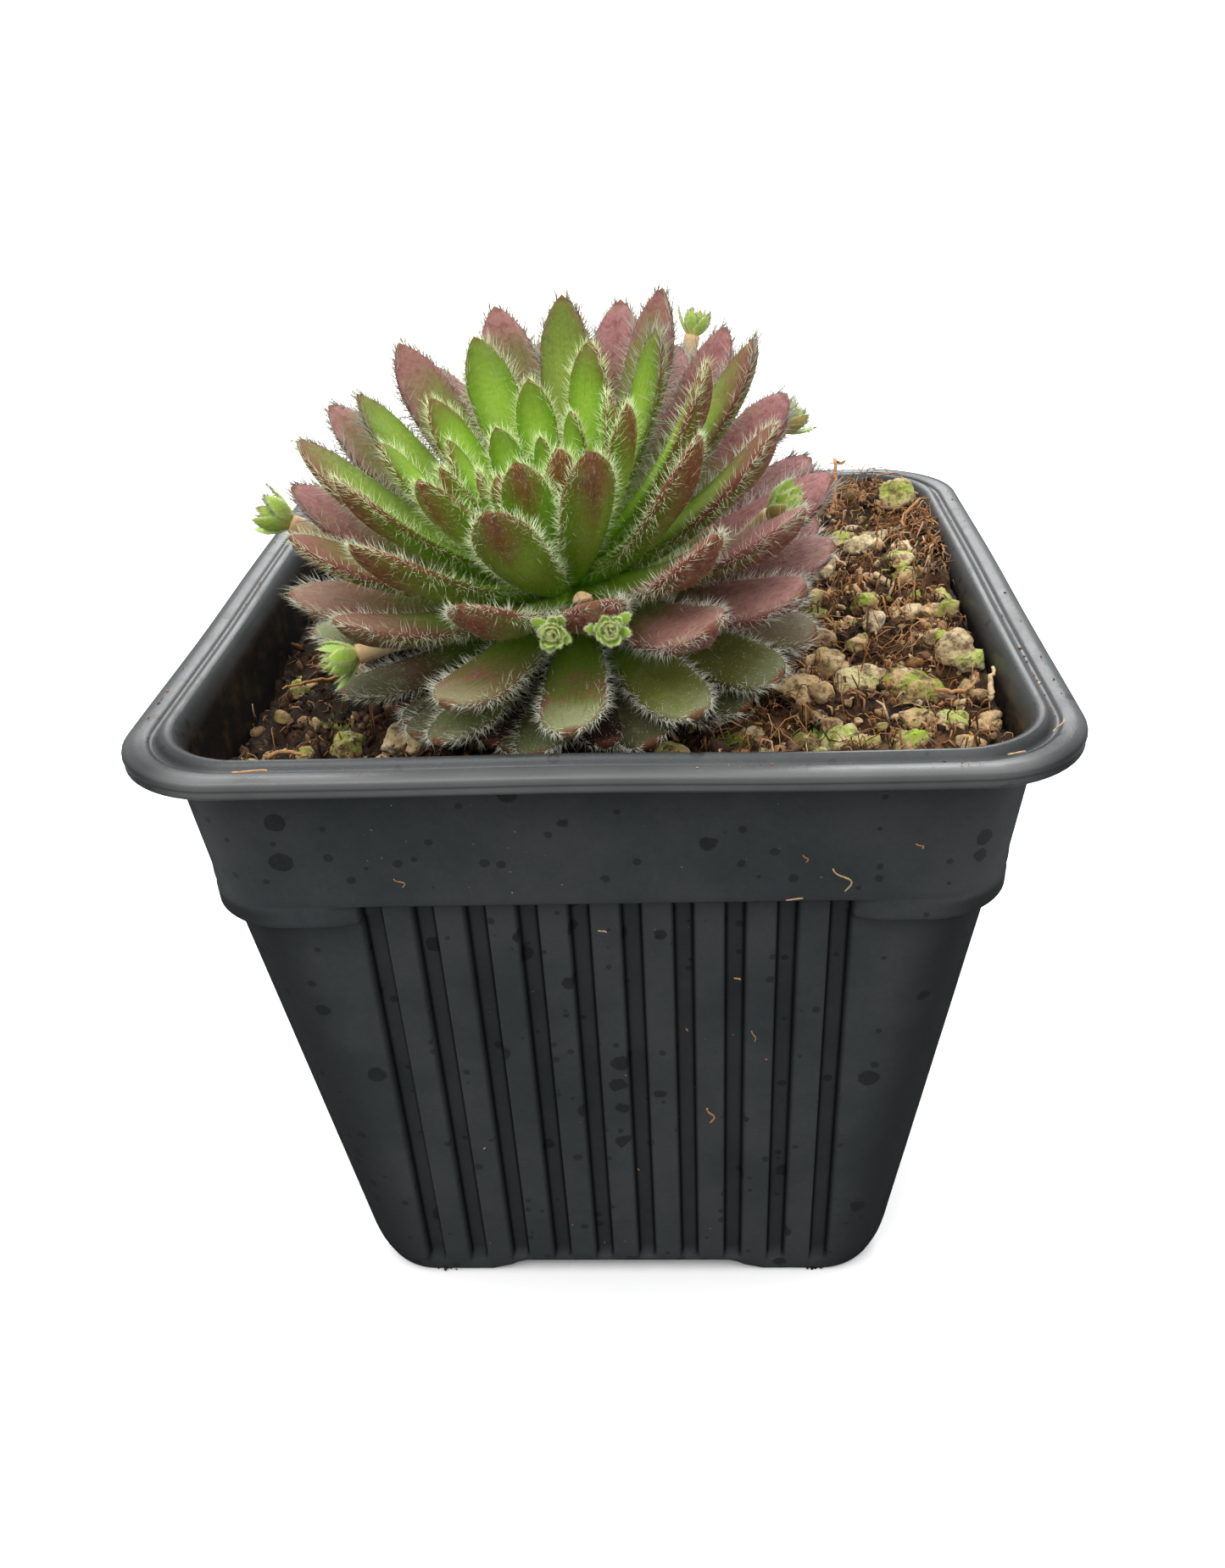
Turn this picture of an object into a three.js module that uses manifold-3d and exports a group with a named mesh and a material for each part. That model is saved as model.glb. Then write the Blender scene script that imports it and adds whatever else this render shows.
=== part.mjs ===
// Hens and chicks: a hairy rosette succulent with seven chicks on runners, growing in a square
// plastic nursery pot filled with gritty soil. Millimetres, +Z up, and the front of the pot faces
// -Y. The origin is in the middle of the pot, on the plane that its feet stand on.

import * as THREE from 'three';
import { mergeVertices } from 'three/addons/utils/BufferGeometryUtils.js';
import Module from 'manifold-3d';

// Driving dimensions

const clearance = 0.3; // gap kept between neighbouring pieces

const pot = {
  height: 77,
  rimHalf: 45, // half the width over the rim
  rimCorner: 10.7,
  bandTopHalf: 41.4, // the plain band under the rim
  bandLowHalf: 40.0,
  bandBottom: 60.0, // height of the step under the band
  bodyTopHalf: 38.8,
  bodyLowHalf: 31.8,
  bodyLow: 6.0, // height where the body starts to round in to the base
  baseHalf: 30.4,
  wall: 1.9,
  kneeLow: 58.0, // the cavity widens between these two heights, behind the step
  kneeHigh: 62.5,
  kneeHighHalf: 38.6,
  mouthHalf: 40.1, // half width of the cavity under the rim
  floor: 2.6,
  cornerSteps: 6, // facets in each rounded corner
};

const groove = {
  count: 10, // on each face
  pitch: 5.1,
  width: 2.4,
  depth: 1.1,
  bottom: 2.2,
};

const lug = {
  half: 39.9, // the stacking lugs stand out at the corners, under the band
  bottom: 57.4,
  faceRun: 22, // how far from the middle of a face a lug begins
};

const foot = {
  archWidth: 28, // the base is arched up between the corner feet
  archHeight: 1.5,
  archSlope: 3,
};

const drain = {
  cornerRadius: 3.5,
  cornerPlace: 18,
  middleRadius: 5,
};

const soil = {
  top: 71.0,
  slope: [0.05, 0.025], // it lies higher to the right and to the back
  swell: 0.8, // height of the low bumps
  gritCount: 46,
  gritSmall: 1.2,
  gritLarge: 2.3, // radius of the largest grain
  gritReach: 36.2, // grains lie inside this half width
  gritCorner: 64, // and their two distances from the middle add up to less than this
  gritToLeaf: 2.9,
  seed: 11,
};

const rosette = {
  leafCount: 110,
  withered: [52, 64, 75], // places in the spiral where a leaf is gone
  divergence: 137.923, // degrees from each leaf to the next, clockwise from above
  startTurn: 187.2,
  turnDrift: 9.5, // degrees that the young end is turned further
  foot: [-2.9, -11.7, 82.2], // where the lowest leaves join the stem
  lean: [-0.197, -0.289], // the crown leans to the front and to the left
  drift: [-1.22, -5.0], // the young end of the stem bends further
  stemRise: 3.0, // from the oldest leaf to the youngest
  risePower: 2.6,
  oldLength: 24.2,
  fullLength: 29.6,
  youngLength: 13.75,
  fullAge: 0.709, // share of the leaf count at which leaves are longest
  growthPower: 1.48, // how late the leaves gain and lose their length
  declinePower: 1.3,
  oldAngle: 114.1, // degrees between the axis and the oldest leaf
  youngAngle: 13.4,
  anglePower: 1.228,
  angleBulge: 4.97, // leaves of middle age open this much wider
  angleSway: 1.57, // leaves on one side open wider by this
  angleSwayTurn: 92,
  tipLift: 0.0019, // rise of a leaf's tip, for each squared millimetre of its length
  tipRest: 1.9, // least height of a leaf tip over the soil
  tipInside: 38.4, // a low tip stays this far inside the pot
  stemRadius: 2.6,
  coreRadius: 3.2,
};

const leaf = {
  sides: 4,
  stations: [0, 0.12, 0.4, 0.68, 0.88, 1], // share of the length at each ring
  widths: [0, 0.54, 0.87, 1, 0.76, 0],
  depths: [0, 0.9, 1, 0.85, 0.6, 0],
  oldWidth: 6.8,
  youngWidth: 2.4,
  widthPower: 4, // leaves keep their full width until they are young
  depthShare: 0.36, // full depth over width
  faceShare: 0.35, // the upper face is flatter than the keeled back
  curl: 0.06, // how far the middle of a leaf bows away from the crown, over its length
};

const chick = {
  leafCount: 9,
  sides: 3,
  leafLength: 3.0,
  leafWidth: 1.7,
  leafDepth: 0.9,
  coreRadius: 1.2,
  coreLength: 3.0,
  roomRadius: 3.0,
  roomLength: 5.8,
};

const runner = {
  radius: 0.7,
  sides: 6,
  steps: 9,
};

// Each runner leaves the stem of the hen, passes between its leaves and ends in a chick of its size.
const runners = [
  { size: 1.05, path: [[-6, -11.2, 81.5], [-15, -11.6, 83.5], [-26.5, -11.6, 86.4], [-32, -11.6, 89.1]] },
  { size: 1.0, path: [[-5.8, -13.5, 81], [-9.5, -18.5, 82.4], [-15, -24, 82.6], [-23.2, -26.5, 80.9]] },
  { size: 0.75, path: [[-4, -14, 81], [-3.9, -22, 82.5], [-3.6, -29, 84.2], [-3.5, -35.4, 86.3]] },
  { size: 0.75, path: [[-1.8, -14, 81], [0.2, -22, 82.5], [1.3, -29, 84.2], [1.6, -35.5, 86.5]] },
  { size: 1.0, path: [[-1, -12.5, 81.5], [5, -15, 84], [12.5, -18, 87.2], [16.5, -19.6, 91]] },
  { size: 0.8, path: [[-2, -9, 83], [3, 1, 88], [7.8, 7.8, 95], [9.7, 10.6, 102]] },
  { size: 0.9, path: [[-1, -10, 82], [6, -5, 85], [13, -0.5, 89], [18.8, 1.8, 93.7]] },
];

// Solids

const wasm = await Module();
wasm.setup();

function toSolid(geometry) {
  const bare = geometry.clone();
  bare.deleteAttribute('normal');
  bare.deleteAttribute('uv');
  const merged = mergeVertices(bare, 1e-5);
  const corners = merged.index.array;
  const triangles = [];
  for (let i = 0; i < corners.length; i += 3) {
    const [a, b, c] = [corners[i], corners[i + 1], corners[i + 2]];
    if (a !== b && b !== c && c !== a) {
      triangles.push([a, b, c]);
    }
  }
  const places = merged.attributes.position;
  const [a, b, c] = [new THREE.Vector3(), new THREE.Vector3(), new THREE.Vector3()];
  let volume = 0;
  for (const triangle of triangles) {
    a.fromBufferAttribute(places, triangle[0]);
    b.fromBufferAttribute(places, triangle[1]);
    c.fromBufferAttribute(places, triangle[2]);
    volume += a.dot(b.cross(c));
  }
  const outward = volume > 0 ? triangles : triangles.map((triangle) => triangle.reverse());
  return new wasm.Manifold(new wasm.Mesh({
    numProp: 3,
    vertProperties: Float32Array.from(places.array),
    triVerts: Uint32Array.from(outward.flat()),
  }));
}

function joinAll(solids) {
  return solids.reduce((joined, solid) => joined.add(solid));
}

// Crossing leaves can leave a loose scrap, so only the largest body is kept.
function largestBody(solid) {
  const bodies = solid.decompose();
  return bodies.reduce((best, body) => (body.volume() > best.volume() ? body : best));
}

function toMesh(name, solid, color, roughness) {
  const { vertProperties, triVerts } = solid.getMesh();
  const geometry = new THREE.BufferGeometry();
  geometry.setAttribute('position', new THREE.BufferAttribute(Float32Array.from(vertProperties), 3));
  geometry.setIndex(new THREE.BufferAttribute(Uint32Array.from(triVerts), 1));
  geometry.computeVertexNormals();
  const material = new THREE.MeshStandardMaterial({ color, roughness, metalness: 0 });
  const mesh = new THREE.Mesh(geometry, material);
  mesh.name = name;
  return mesh;
}

function seededRandom(seed) {
  let state = seed;
  return () => {
    state = (state + 0x6d2b79f5) | 0;
    let mixed = Math.imul(state ^ (state >>> 15), 1 | state);
    mixed = (mixed + Math.imul(mixed ^ (mixed >>> 7), 61 | mixed)) ^ mixed;
    return ((mixed ^ (mixed >>> 14)) >>> 0) / 4294967296;
  };
}

const degrees = (angle) => THREE.MathUtils.degToRad(angle);

// Pot

// A lathe whose round turns are pressed square: each profile point is [half width, height, corner],
// and a point with a fourth number follows that share of the soil's bumps and slope.
function squareLathe(profile) {
  const turns = 4 * (pot.cornerSteps + 1);
  const points = profile.map(([half, height]) => new THREE.Vector2(half, height));
  const lathe = new THREE.LatheGeometry(points, turns);
  const places = lathe.attributes.position;
  for (let turn = 0; turn <= turns; turn++) {
    const quarter = Math.floor((turn % turns) / (pot.cornerSteps + 1));
    const step = (turn % turns) % (pot.cornerSteps + 1);
    const angle = (quarter + step / pot.cornerSteps) * Math.PI / 2;
    const [signX, signY] = [[1, 1], [-1, 1], [-1, -1], [1, -1]][quarter];
    profile.forEach(([half, height, corner, swell = 0], row) => {
      const x = signX * (half - corner) + corner * Math.cos(angle);
      const y = signY * (half - corner) + corner * Math.sin(angle);
      const lift = swell * (soilHeight(x, y) - soil.top);
      places.setXYZ(turn * profile.length + row, x, y, height + lift);
    });
  }
  return toSolid(lathe);
}

// Half width of the cavity: a taper up to the step, a flare behind the step and a taper above it.
function cavityHalf(height) {
  const kneeHalf = pot.bodyTopHalf - pot.wall;
  if (height < pot.kneeLow) {
    const share = (pot.kneeLow - height) / (pot.kneeLow - pot.bodyLow);
    return kneeHalf - share * (pot.bodyTopHalf - pot.bodyLowHalf);
  }
  if (height < pot.kneeHigh) {
    const share = (height - pot.kneeLow) / (pot.kneeHigh - pot.kneeLow);
    return kneeHalf + share * (pot.kneeHighHalf - kneeHalf);
  }
  const share = (height - pot.kneeHigh) / (pot.height - pot.kneeHigh);
  return pot.kneeHighHalf + share * (pot.mouthHalf - pot.kneeHighHalf);
}

function makePotShell() {
  const rim = pot.height;
  const bodyCorner = 7.6;
  const innerCorner = 6.4;
  return squareLathe([
    [0, 0, 0],
    [pot.baseHalf - 1.2, 0, 6.6],
    [pot.baseHalf + 0.2, 1.0, 7.3],
    [pot.bodyLowHalf - 0.3, 3.2, bodyCorner],
    [pot.bodyLowHalf, pot.bodyLow, bodyCorner],
    [pot.bodyTopHalf, pot.bandBottom - 0.2, bodyCorner],
    [pot.bandLowHalf - 0.4, pot.bandBottom, 8.8],
    [pot.bandLowHalf, pot.bandBottom + 1.2, 9.4],
    [pot.bandTopHalf, rim - 3, 9.6],
    [pot.bandTopHalf + 0.8, rim - 2.4, 9.8],
    [pot.rimHalf - 0.5, rim - 1.8, 10.4],
    [pot.rimHalf, rim - 1.5, pot.rimCorner],
    [pot.rimHalf, rim - 0.8, pot.rimCorner],
    [pot.rimHalf - 0.6, rim - 0.35, 10.4],
    [pot.rimHalf - 2.1, rim - 0.45, 9.6],
    [pot.rimHalf - 2.5, rim - 0.85, 9.4],
    [pot.rimHalf - 2.9, rim - 0.75, 9.2],
    [pot.rimHalf - 3.3, rim - 0.15, 9.0],
    [pot.rimHalf - 3.9, rim, 8.8],
    [pot.rimHalf - 4.5, rim - 0.5, 8.6],
    [cavityHalf(rim - 2.4), rim - 2.4, 8.2],
    [cavityHalf(pot.kneeHigh), pot.kneeHigh, 7.6],
    [cavityHalf(pot.kneeLow), pot.kneeLow, innerCorner],
    [cavityHalf(pot.bodyLow), pot.bodyLow, innerCorner],
    [pot.baseHalf - pot.wall - 0.6, pot.floor, 5.2],
    [0, pot.floor, 0],
  ]);
}

function grooveCuts() {
  const top = pot.bandBottom - 0.4;
  const rise = top - groove.bottom;
  const taper = Math.atan((pot.bodyTopHalf - pot.bodyLowHalf) / (pot.bandBottom - pot.bodyLow));
  const middleHalf = (pot.bodyTopHalf + pot.bodyLowHalf) / 2;
  const middleHeight = (pot.bandBottom + pot.bodyLow) / 2;
  const centre = (top + groove.bottom) / 2;
  const faceHalf = middleHalf + (centre - middleHeight) * Math.tan(taper);
  const cuts = [];
  for (let face = 0; face < 4; face++) {
    for (let i = 0; i < groove.count; i++) {
      const across = (i - (groove.count - 1) / 2) * groove.pitch;
      const cut = new THREE.BoxGeometry(groove.width, 2 * groove.depth, rise / Math.cos(taper));
      cut.rotateX(taper);
      cut.translate(across, -faceHalf, centre);
      cut.rotateZ(face * Math.PI / 2);
      cuts.push(toSolid(cut));
    }
  }
  return joinAll(cuts);
}

function makeLugs() {
  const top = pot.bandBottom + 0.6;
  const ring = squareLathe([
    [pot.bodyTopHalf - 0.6, lug.bottom - 0.4, 7.4],
    [lug.half - 0.7, lug.bottom, 8.6],
    [lug.half, lug.bottom + 1.2, 9.0],
    [lug.half - 0.1, top, 9.0],
    [pot.bodyTopHalf - 0.6, top, 7.4],
    [pot.bodyTopHalf - 0.6, lug.bottom - 0.4, 7.4],
  ]);
  const clear = lug.half + lug.faceRun;
  const diamond = new THREE.CylinderGeometry(clear, clear, 10, 4);
  diamond.rotateX(Math.PI / 2);
  diamond.translate(0, 0, lug.bottom);
  return ring.subtract(toSolid(diamond));
}

function footArches() {
  const outline = new THREE.Shape();
  const half = foot.archWidth / 2;
  outline.moveTo(-half - foot.archSlope, -1);
  outline.lineTo(half + foot.archSlope, -1);
  outline.lineTo(half + foot.archSlope * 0.4, 0);
  outline.lineTo(half - foot.archSlope, foot.archHeight);
  outline.lineTo(-half + foot.archSlope, foot.archHeight);
  outline.lineTo(-half - foot.archSlope * 0.4, 0);
  const length = 2.4 * pot.baseHalf;
  const arches = [0, Math.PI / 2].map((turn) => {
    const bar = new THREE.ExtrudeGeometry(outline, { depth: length, bevelEnabled: false });
    bar.translate(0, 0, -length / 2);
    bar.rotateX(Math.PI / 2);
    bar.rotateZ(turn);
    return toSolid(bar);
  });
  return joinAll(arches);
}

function drainHoles() {
  const places = [[0, 0, drain.middleRadius]];
  for (const x of [-drain.cornerPlace, drain.cornerPlace]) {
    for (const y of [-drain.cornerPlace, drain.cornerPlace]) {
      places.push([x, y, drain.cornerRadius]);
    }
  }
  const holes = places.map(([x, y, radius]) => {
    const hole = new THREE.CylinderGeometry(radius, radius, 4 * pot.floor, 12);
    hole.rotateX(Math.PI / 2);
    hole.translate(x, y, 0);
    return toSolid(hole);
  });
  return joinAll(holes);
}

function makePot() {
  const shell = makePotShell().add(makeLugs());
  const solid = shell.subtract(grooveCuts()).subtract(footArches()).subtract(drainHoles());
  return toMesh('pot', solid, 0x30363a, 0.42);
}

// Hen

const axis = new THREE.Vector3(...rosette.lean, 1).normalize();
const sideways = new THREE.Vector3(0, 1, 0).cross(axis).normalize();
const backward = new THREE.Vector3().crossVectors(axis, sideways);

// The stem's centre line, from 0 at the oldest leaf to 1 at the youngest.
function stemPoint(age) {
  const point = new THREE.Vector3(...rosette.foot);
  point.addScaledVector(axis, rosette.stemRise * age ** rosette.risePower);
  point.x += rosette.drift[0] * age ** 2;
  point.y += rosette.drift[1] * age ** 2;
  return point;
}

function leafLengthAt(age) {
  const { oldLength, fullLength, youngLength, fullAge, growthPower, declinePower } = rosette;
  if (age < fullAge) {
    const growth = Math.sin(Math.PI / 2 * age / fullAge) ** growthPower;
    return oldLength + (fullLength - oldLength) * growth;
  }
  const decline = Math.cos(Math.PI / 2 * (age - fullAge) / (1 - fullAge)) ** declinePower;
  return youngLength + (fullLength - youngLength) * decline;
}

// A leaf is a sphere drawn out: its poles are the root and the tip, and its rows are the stations.
function leafGeometry(root, along, across, face, length, width, depth, shape) {
  const rows = shape.stations.length - 1;
  const body = new THREE.SphereGeometry(1, shape.sides, rows);
  const places = body.attributes.position;
  const point = new THREE.Vector3();
  for (let row = 0; row <= rows; row++) {
    const share = shape.stations[row];
    const bow = -4 * shape.curl * length * share * (1 - share);
    const lift = shape.tipLift * (length * share) ** 2;
    for (let side = 0; side <= shape.sides; side++) {
      const angle = side * 2 * Math.PI / shape.sides;
      const rise = Math.sin(angle) * (Math.sin(angle) > 0 ? shape.faceShare : 1 - shape.faceShare);
      point.copy(root).addScaledVector(along, share * length);
      point.addScaledVector(across, Math.cos(angle) * shape.widths[row] * width / 2);
      point.addScaledVector(face, bow + rise * shape.depths[row] * depth);
      places.setXYZ(row * (shape.sides + 1) + side, point.x, point.y, point.z + lift);
    }
  }
  return body;
}

// Where a leaf of the hen stands: its root, its length and its three directions.
function henLeafPlace(index) {
  const age = index / (rosette.leafCount - 1);
  const turn = degrees(rosette.startTurn - rosette.divergence * index) + degrees(rosette.turnDrift * age ** 2);
  const spread = (rosette.oldAngle - rosette.youngAngle) * age ** rosette.anglePower;
  const bulge = rosette.angleBulge * Math.sin(Math.PI * age);
  const sway = rosette.angleSway * Math.cos(turn - degrees(rosette.angleSwayTurn));
  const lean = degrees(rosette.oldAngle - spread + bulge + sway);
  const outward = new THREE.Vector3();
  outward.addScaledVector(sideways, Math.cos(turn)).addScaledVector(backward, Math.sin(turn));
  const along = outward.clone().multiplyScalar(Math.sin(lean)).addScaledVector(axis, Math.cos(lean));
  const root = stemPoint(age);
  const fullLength = leafLengthAt(age);
  const lowest = (soil.top + rosette.tipRest - root.z) / fullLength;
  if (along.z < lowest) {
    const level = Math.sqrt((1 - lowest ** 2) / (1 - along.z ** 2));
    along.set(along.x * level, along.y * level, lowest); // a hanging tip comes to rest on the soil
  }
  const length = lengthInsidePot(root, along, fullLength);
  const across = new THREE.Vector3().crossVectors(outward, axis);
  across.addScaledVector(along, -across.dot(along)).normalize();
  const face = new THREE.Vector3().crossVectors(across, along);
  return { root, length, along, across, face, age };
}

// A low leaf that would reach the wall of the pot is shorter.
function lengthInsidePot(root, along, length) {
  const tip = root.clone().addScaledVector(along, length);
  if (tip.z > pot.height + 2 || Math.abs(tip.y) < rosette.tipInside) {
    return length;
  }
  return length * (rosette.tipInside - Math.abs(root.y)) / (Math.abs(tip.y) - Math.abs(root.y));
}

function henLeaf({ root, length, along, across, face, age }) {
  const width = leaf.oldWidth - (leaf.oldWidth - leaf.youngWidth) * age ** leaf.widthPower;
  const shape = { ...leaf, tipLift: rosette.tipLift };
  return leafGeometry(root, along, across, face, length, width, width * leaf.depthShare, shape);
}

const allLeaves = Array.from({ length: rosette.leafCount }, (_, index) => index);
const henLeafPlaces = allLeaves.filter((index) => !rosette.withered.includes(index)).map(henLeafPlace);

function stemSolid(radius, bottom) {
  const top = stemPoint(0).z;
  const stem = new THREE.CylinderGeometry(radius, radius, top - bottom, 10);
  stem.rotateX(Math.PI / 2);
  stem.translate(rosette.foot[0], rosette.foot[1], (top + bottom) / 2);
  return toSolid(stem);
}

// The heart of the rosette, which the leaves stand out of.
function coreSolid() {
  const core = new THREE.SphereGeometry(1, 8, 6);
  const low = stemPoint(0);
  const high = stemPoint(1);
  const half = low.distanceTo(high) / 2 + 1.5;
  core.scale(rosette.coreRadius, half, rosette.coreRadius);
  const direction = high.clone().sub(low).normalize();
  core.applyQuaternion(new THREE.Quaternion().setFromUnitVectors(new THREE.Vector3(0, 1, 0), direction));
  core.translate(...low.add(high).multiplyScalar(0.5).toArray());
  return toSolid(core);
}

// Runners and chicks

function runnerCurve(path) {
  return new THREE.CatmullRomCurve3(path.map((point) => new THREE.Vector3(...point)));
}

function runnerSolid(path, radius) {
  const section = new THREE.Shape();
  for (let side = 0; side < runner.sides; side++) {
    const angle = side * 2 * Math.PI / runner.sides;
    const corner = [radius * Math.cos(angle), radius * Math.sin(angle)];
    if (side === 0) {
      section.moveTo(...corner);
    } else {
      section.lineTo(...corner);
    }
  }
  const options = { steps: runner.steps, bevelEnabled: false, extrudePath: runnerCurve(path) };
  return toSolid(new THREE.ExtrudeGeometry(section, options));
}

function chickSolid({ path, size }) {
  const curve = runnerCurve(path);
  const along = curve.getTangent(1);
  const start = curve.getPoint(1).addScaledVector(along, clearance);
  const upright = Math.abs(along.z) > 0.8 ? new THREE.Vector3(1, 0, 0) : new THREE.Vector3(0, 0, 1);
  const right = new THREE.Vector3().crossVectors(along, upright).normalize();
  const over = new THREE.Vector3().crossVectors(right, along);
  const half = size * chick.coreLength / 2;
  const heart = new THREE.SphereGeometry(1, 6, 4);
  heart.scale(size * chick.coreRadius, half, size * chick.coreRadius);
  heart.applyQuaternion(new THREE.Quaternion().setFromUnitVectors(new THREE.Vector3(0, 1, 0), along));
  heart.translate(...start.clone().addScaledVector(along, half).toArray());
  const shape = {
    sides: chick.sides,
    stations: [0, 0.3, 0.7, 1],
    widths: [0, 0.8, 1, 0],
    depths: [0, 1, 0.9, 0],
    faceShare: 0.4,
    curl: leaf.curl,
    tipLift: 0,
  };
  const leaves = [];
  for (let i = 0; i < chick.leafCount; i++) {
    const age = i / (chick.leafCount - 1);
    const turn = degrees(137.5) * i;
    const lean = degrees(52 - 38 * age);
    const outward = right.clone().multiplyScalar(Math.cos(turn)).addScaledVector(over, Math.sin(turn));
    const forward = outward.clone().multiplyScalar(Math.sin(lean)).addScaledVector(along, Math.cos(lean));
    const face = along.clone().multiplyScalar(Math.sin(lean)).addScaledVector(outward, -Math.cos(lean));
    const across = new THREE.Vector3().crossVectors(forward, face);
    const root = start.clone().addScaledVector(along, size * (0.7 + 1.4 * age));
    const length = size * chick.leafLength * (1 - 0.3 * age);
    const [width, depth] = [size * chick.leafWidth, size * chick.leafDepth];
    leaves.push(toSolid(leafGeometry(root, forward, across, face, length, width, depth, shape)));
  }
  return largestBody(joinAll([toSolid(heart), ...leaves]));
}

// The room that the leaves of the hen leave round a chick.
function chickRoom({ path, size }) {
  const curve = runnerCurve(path);
  const along = curve.getTangent(1);
  const half = size * chick.roomLength / 2;
  const room = new THREE.SphereGeometry(1, 10, 6);
  room.scale(size * chick.roomRadius, half, size * chick.roomRadius);
  room.applyQuaternion(new THREE.Quaternion().setFromUnitVectors(new THREE.Vector3(0, 1, 0), along));
  room.translate(...curve.getPoint(1).addScaledVector(along, half - clearance).toArray());
  return toSolid(room);
}

function makeHen() {
  const leaves = henLeafPlaces.map((place) => toSolid(henLeaf(place)));
  const plant = joinAll([coreSolid(), stemSolid(rosette.stemRadius, soil.top - 6), ...leaves]);
  const channels = runners.map(({ path }) => runnerSolid(path, runner.radius + clearance));
  const room = joinAll([...channels, ...runners.map(chickRoom)]);
  return toMesh('hen_rosette', largestBody(plant.subtract(room)), 0x6f8f3c, 0.6);
}

// Soil

function soilHeight(x, y) {
  const bumps = Math.sin(x * 0.31 + 0.7) * Math.cos(y * 0.27 - 0.4) + 0.5 * Math.sin(x * 0.13 - y * 0.53);
  return soil.top + soil.slope[0] * x + soil.slope[1] * y + soil.swell * bumps * 0.6;
}

function soilBody() {
  const inner = (height) => cavityHalf(height) - clearance;
  const shoulder = soil.top - 4.5;
  const rings = [38.4, 35, 29, 23, 17, 11, 5];
  const profile = [
    [0, pot.floor + clearance, 0],
    [pot.baseHalf - pot.wall - 1.4, pot.floor + clearance, 4.9],
    [inner(pot.bodyLow), pot.bodyLow, 6.1],
    [inner(pot.kneeLow), pot.kneeLow, 6.1],
    [inner(pot.kneeHigh), pot.kneeHigh, 7.3],
    [inner(shoulder), shoulder, 7.5],
    ...rings.map((half) => [half, soil.top, 7.8 * half / rings[0], 1]),
    [0, soil.top, 0, 1],
  ];
  return squareLathe(profile);
}

// Grains keep away from the stem and from the low leaves, whose ends lie close over the soil.
function clearOfLeaves(x, y, radius) {
  const room = radius + soil.gritToLeaf;
  const clearOfStem = Math.hypot(x - rosette.foot[0], y - rosette.foot[1]) > room;
  return clearOfStem && henLeafPlaces.every(({ root, length, along }) => {
    return [0.6, 0.8, 1].every((share) => {
      const point = root.clone().addScaledVector(along, share * length);
      return point.z > soil.top + 5 || Math.hypot(x - point.x, y - point.y) > room;
    });
  });
}

function gritSolids() {
  const random = seededRandom(soil.seed);
  const grains = [];
  while (grains.length < soil.gritCount) {
    const x = (random() * 2 - 1) * soil.gritReach;
    const y = (random() * 2 - 1) * soil.gritReach;
    const radius = soil.gritSmall + (soil.gritLarge - soil.gritSmall) * random() ** 2;
    const grain = new THREE.IcosahedronGeometry(radius, 0);
    grain.scale(1, 0.75 + 0.25 * random(), 0.6 + 0.2 * random());
    grain.rotateZ(random() * Math.PI);
    grain.rotateX(random() * 0.6);
    grain.translate(x, y, soilHeight(x, y) + 0.15 * radius);
    if (Math.abs(x) + Math.abs(y) < soil.gritCorner && clearOfLeaves(x, y, radius)) {
      grains.push(toSolid(grain));
    }
  }
  return joinAll(grains);
}

function makeSoil() {
  const solid = soilBody().add(gritSolids()).subtract(stemSolid(rosette.stemRadius + clearance, soil.top - 8));
  return toMesh('soil', largestBody(solid), 0x5a4030, 0.95);
}

// Whole object

const plantInPot = new THREE.Group();
plantInPot.name = 'hens_and_chicks';
plantInPot.add(makePot(), makeSoil(), makeHen());
runners.forEach((each, i) => {
  plantInPot.add(toMesh(`runner_${i + 1}`, runnerSolid(each.path, runner.radius), 0xb98a63, 0.6));
  plantInPot.add(toMesh(`chick_${i + 1}`, chickSolid(each), 0x9cc84a, 0.6));
});

export default plantInPot;
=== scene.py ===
import math

import bpy
import numpy as np
from mathutils import Matrix, Vector


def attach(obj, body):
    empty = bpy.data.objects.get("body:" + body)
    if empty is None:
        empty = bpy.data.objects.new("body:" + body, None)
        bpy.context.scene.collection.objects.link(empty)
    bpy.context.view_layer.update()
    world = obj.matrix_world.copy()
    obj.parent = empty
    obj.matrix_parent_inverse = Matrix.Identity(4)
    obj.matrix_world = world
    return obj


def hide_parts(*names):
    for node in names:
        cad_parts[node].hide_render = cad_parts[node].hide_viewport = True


# Potted hens and chicks. Sizes are in millimetres, and makeMesh turns them into metres.

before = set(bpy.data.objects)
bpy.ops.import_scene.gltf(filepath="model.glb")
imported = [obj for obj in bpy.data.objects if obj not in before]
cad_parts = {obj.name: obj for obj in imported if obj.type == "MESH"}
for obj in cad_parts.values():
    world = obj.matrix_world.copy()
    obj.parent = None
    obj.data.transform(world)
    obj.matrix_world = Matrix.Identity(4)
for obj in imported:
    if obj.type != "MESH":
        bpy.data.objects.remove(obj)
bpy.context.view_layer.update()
print("frame loaded:", len(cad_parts), "nodes")

mm = 0.001
goldenTurn = 137.5


# The camera, the lights and the floor.

view = {
    "place": (7.956, -153.326, 135.704),
    "down": 28.847,
    "yaw": -3.288,
    "roll": -2.641,
    "lens": 32.59,
    "skyTop": 2.0,
    "skyLow": 0.30,
    "skyRise": (0.05, 0.72),
    "skySeen": 1.05,
    "floorShade": 0.93,
    "floorBounce": 0.20,
}

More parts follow.
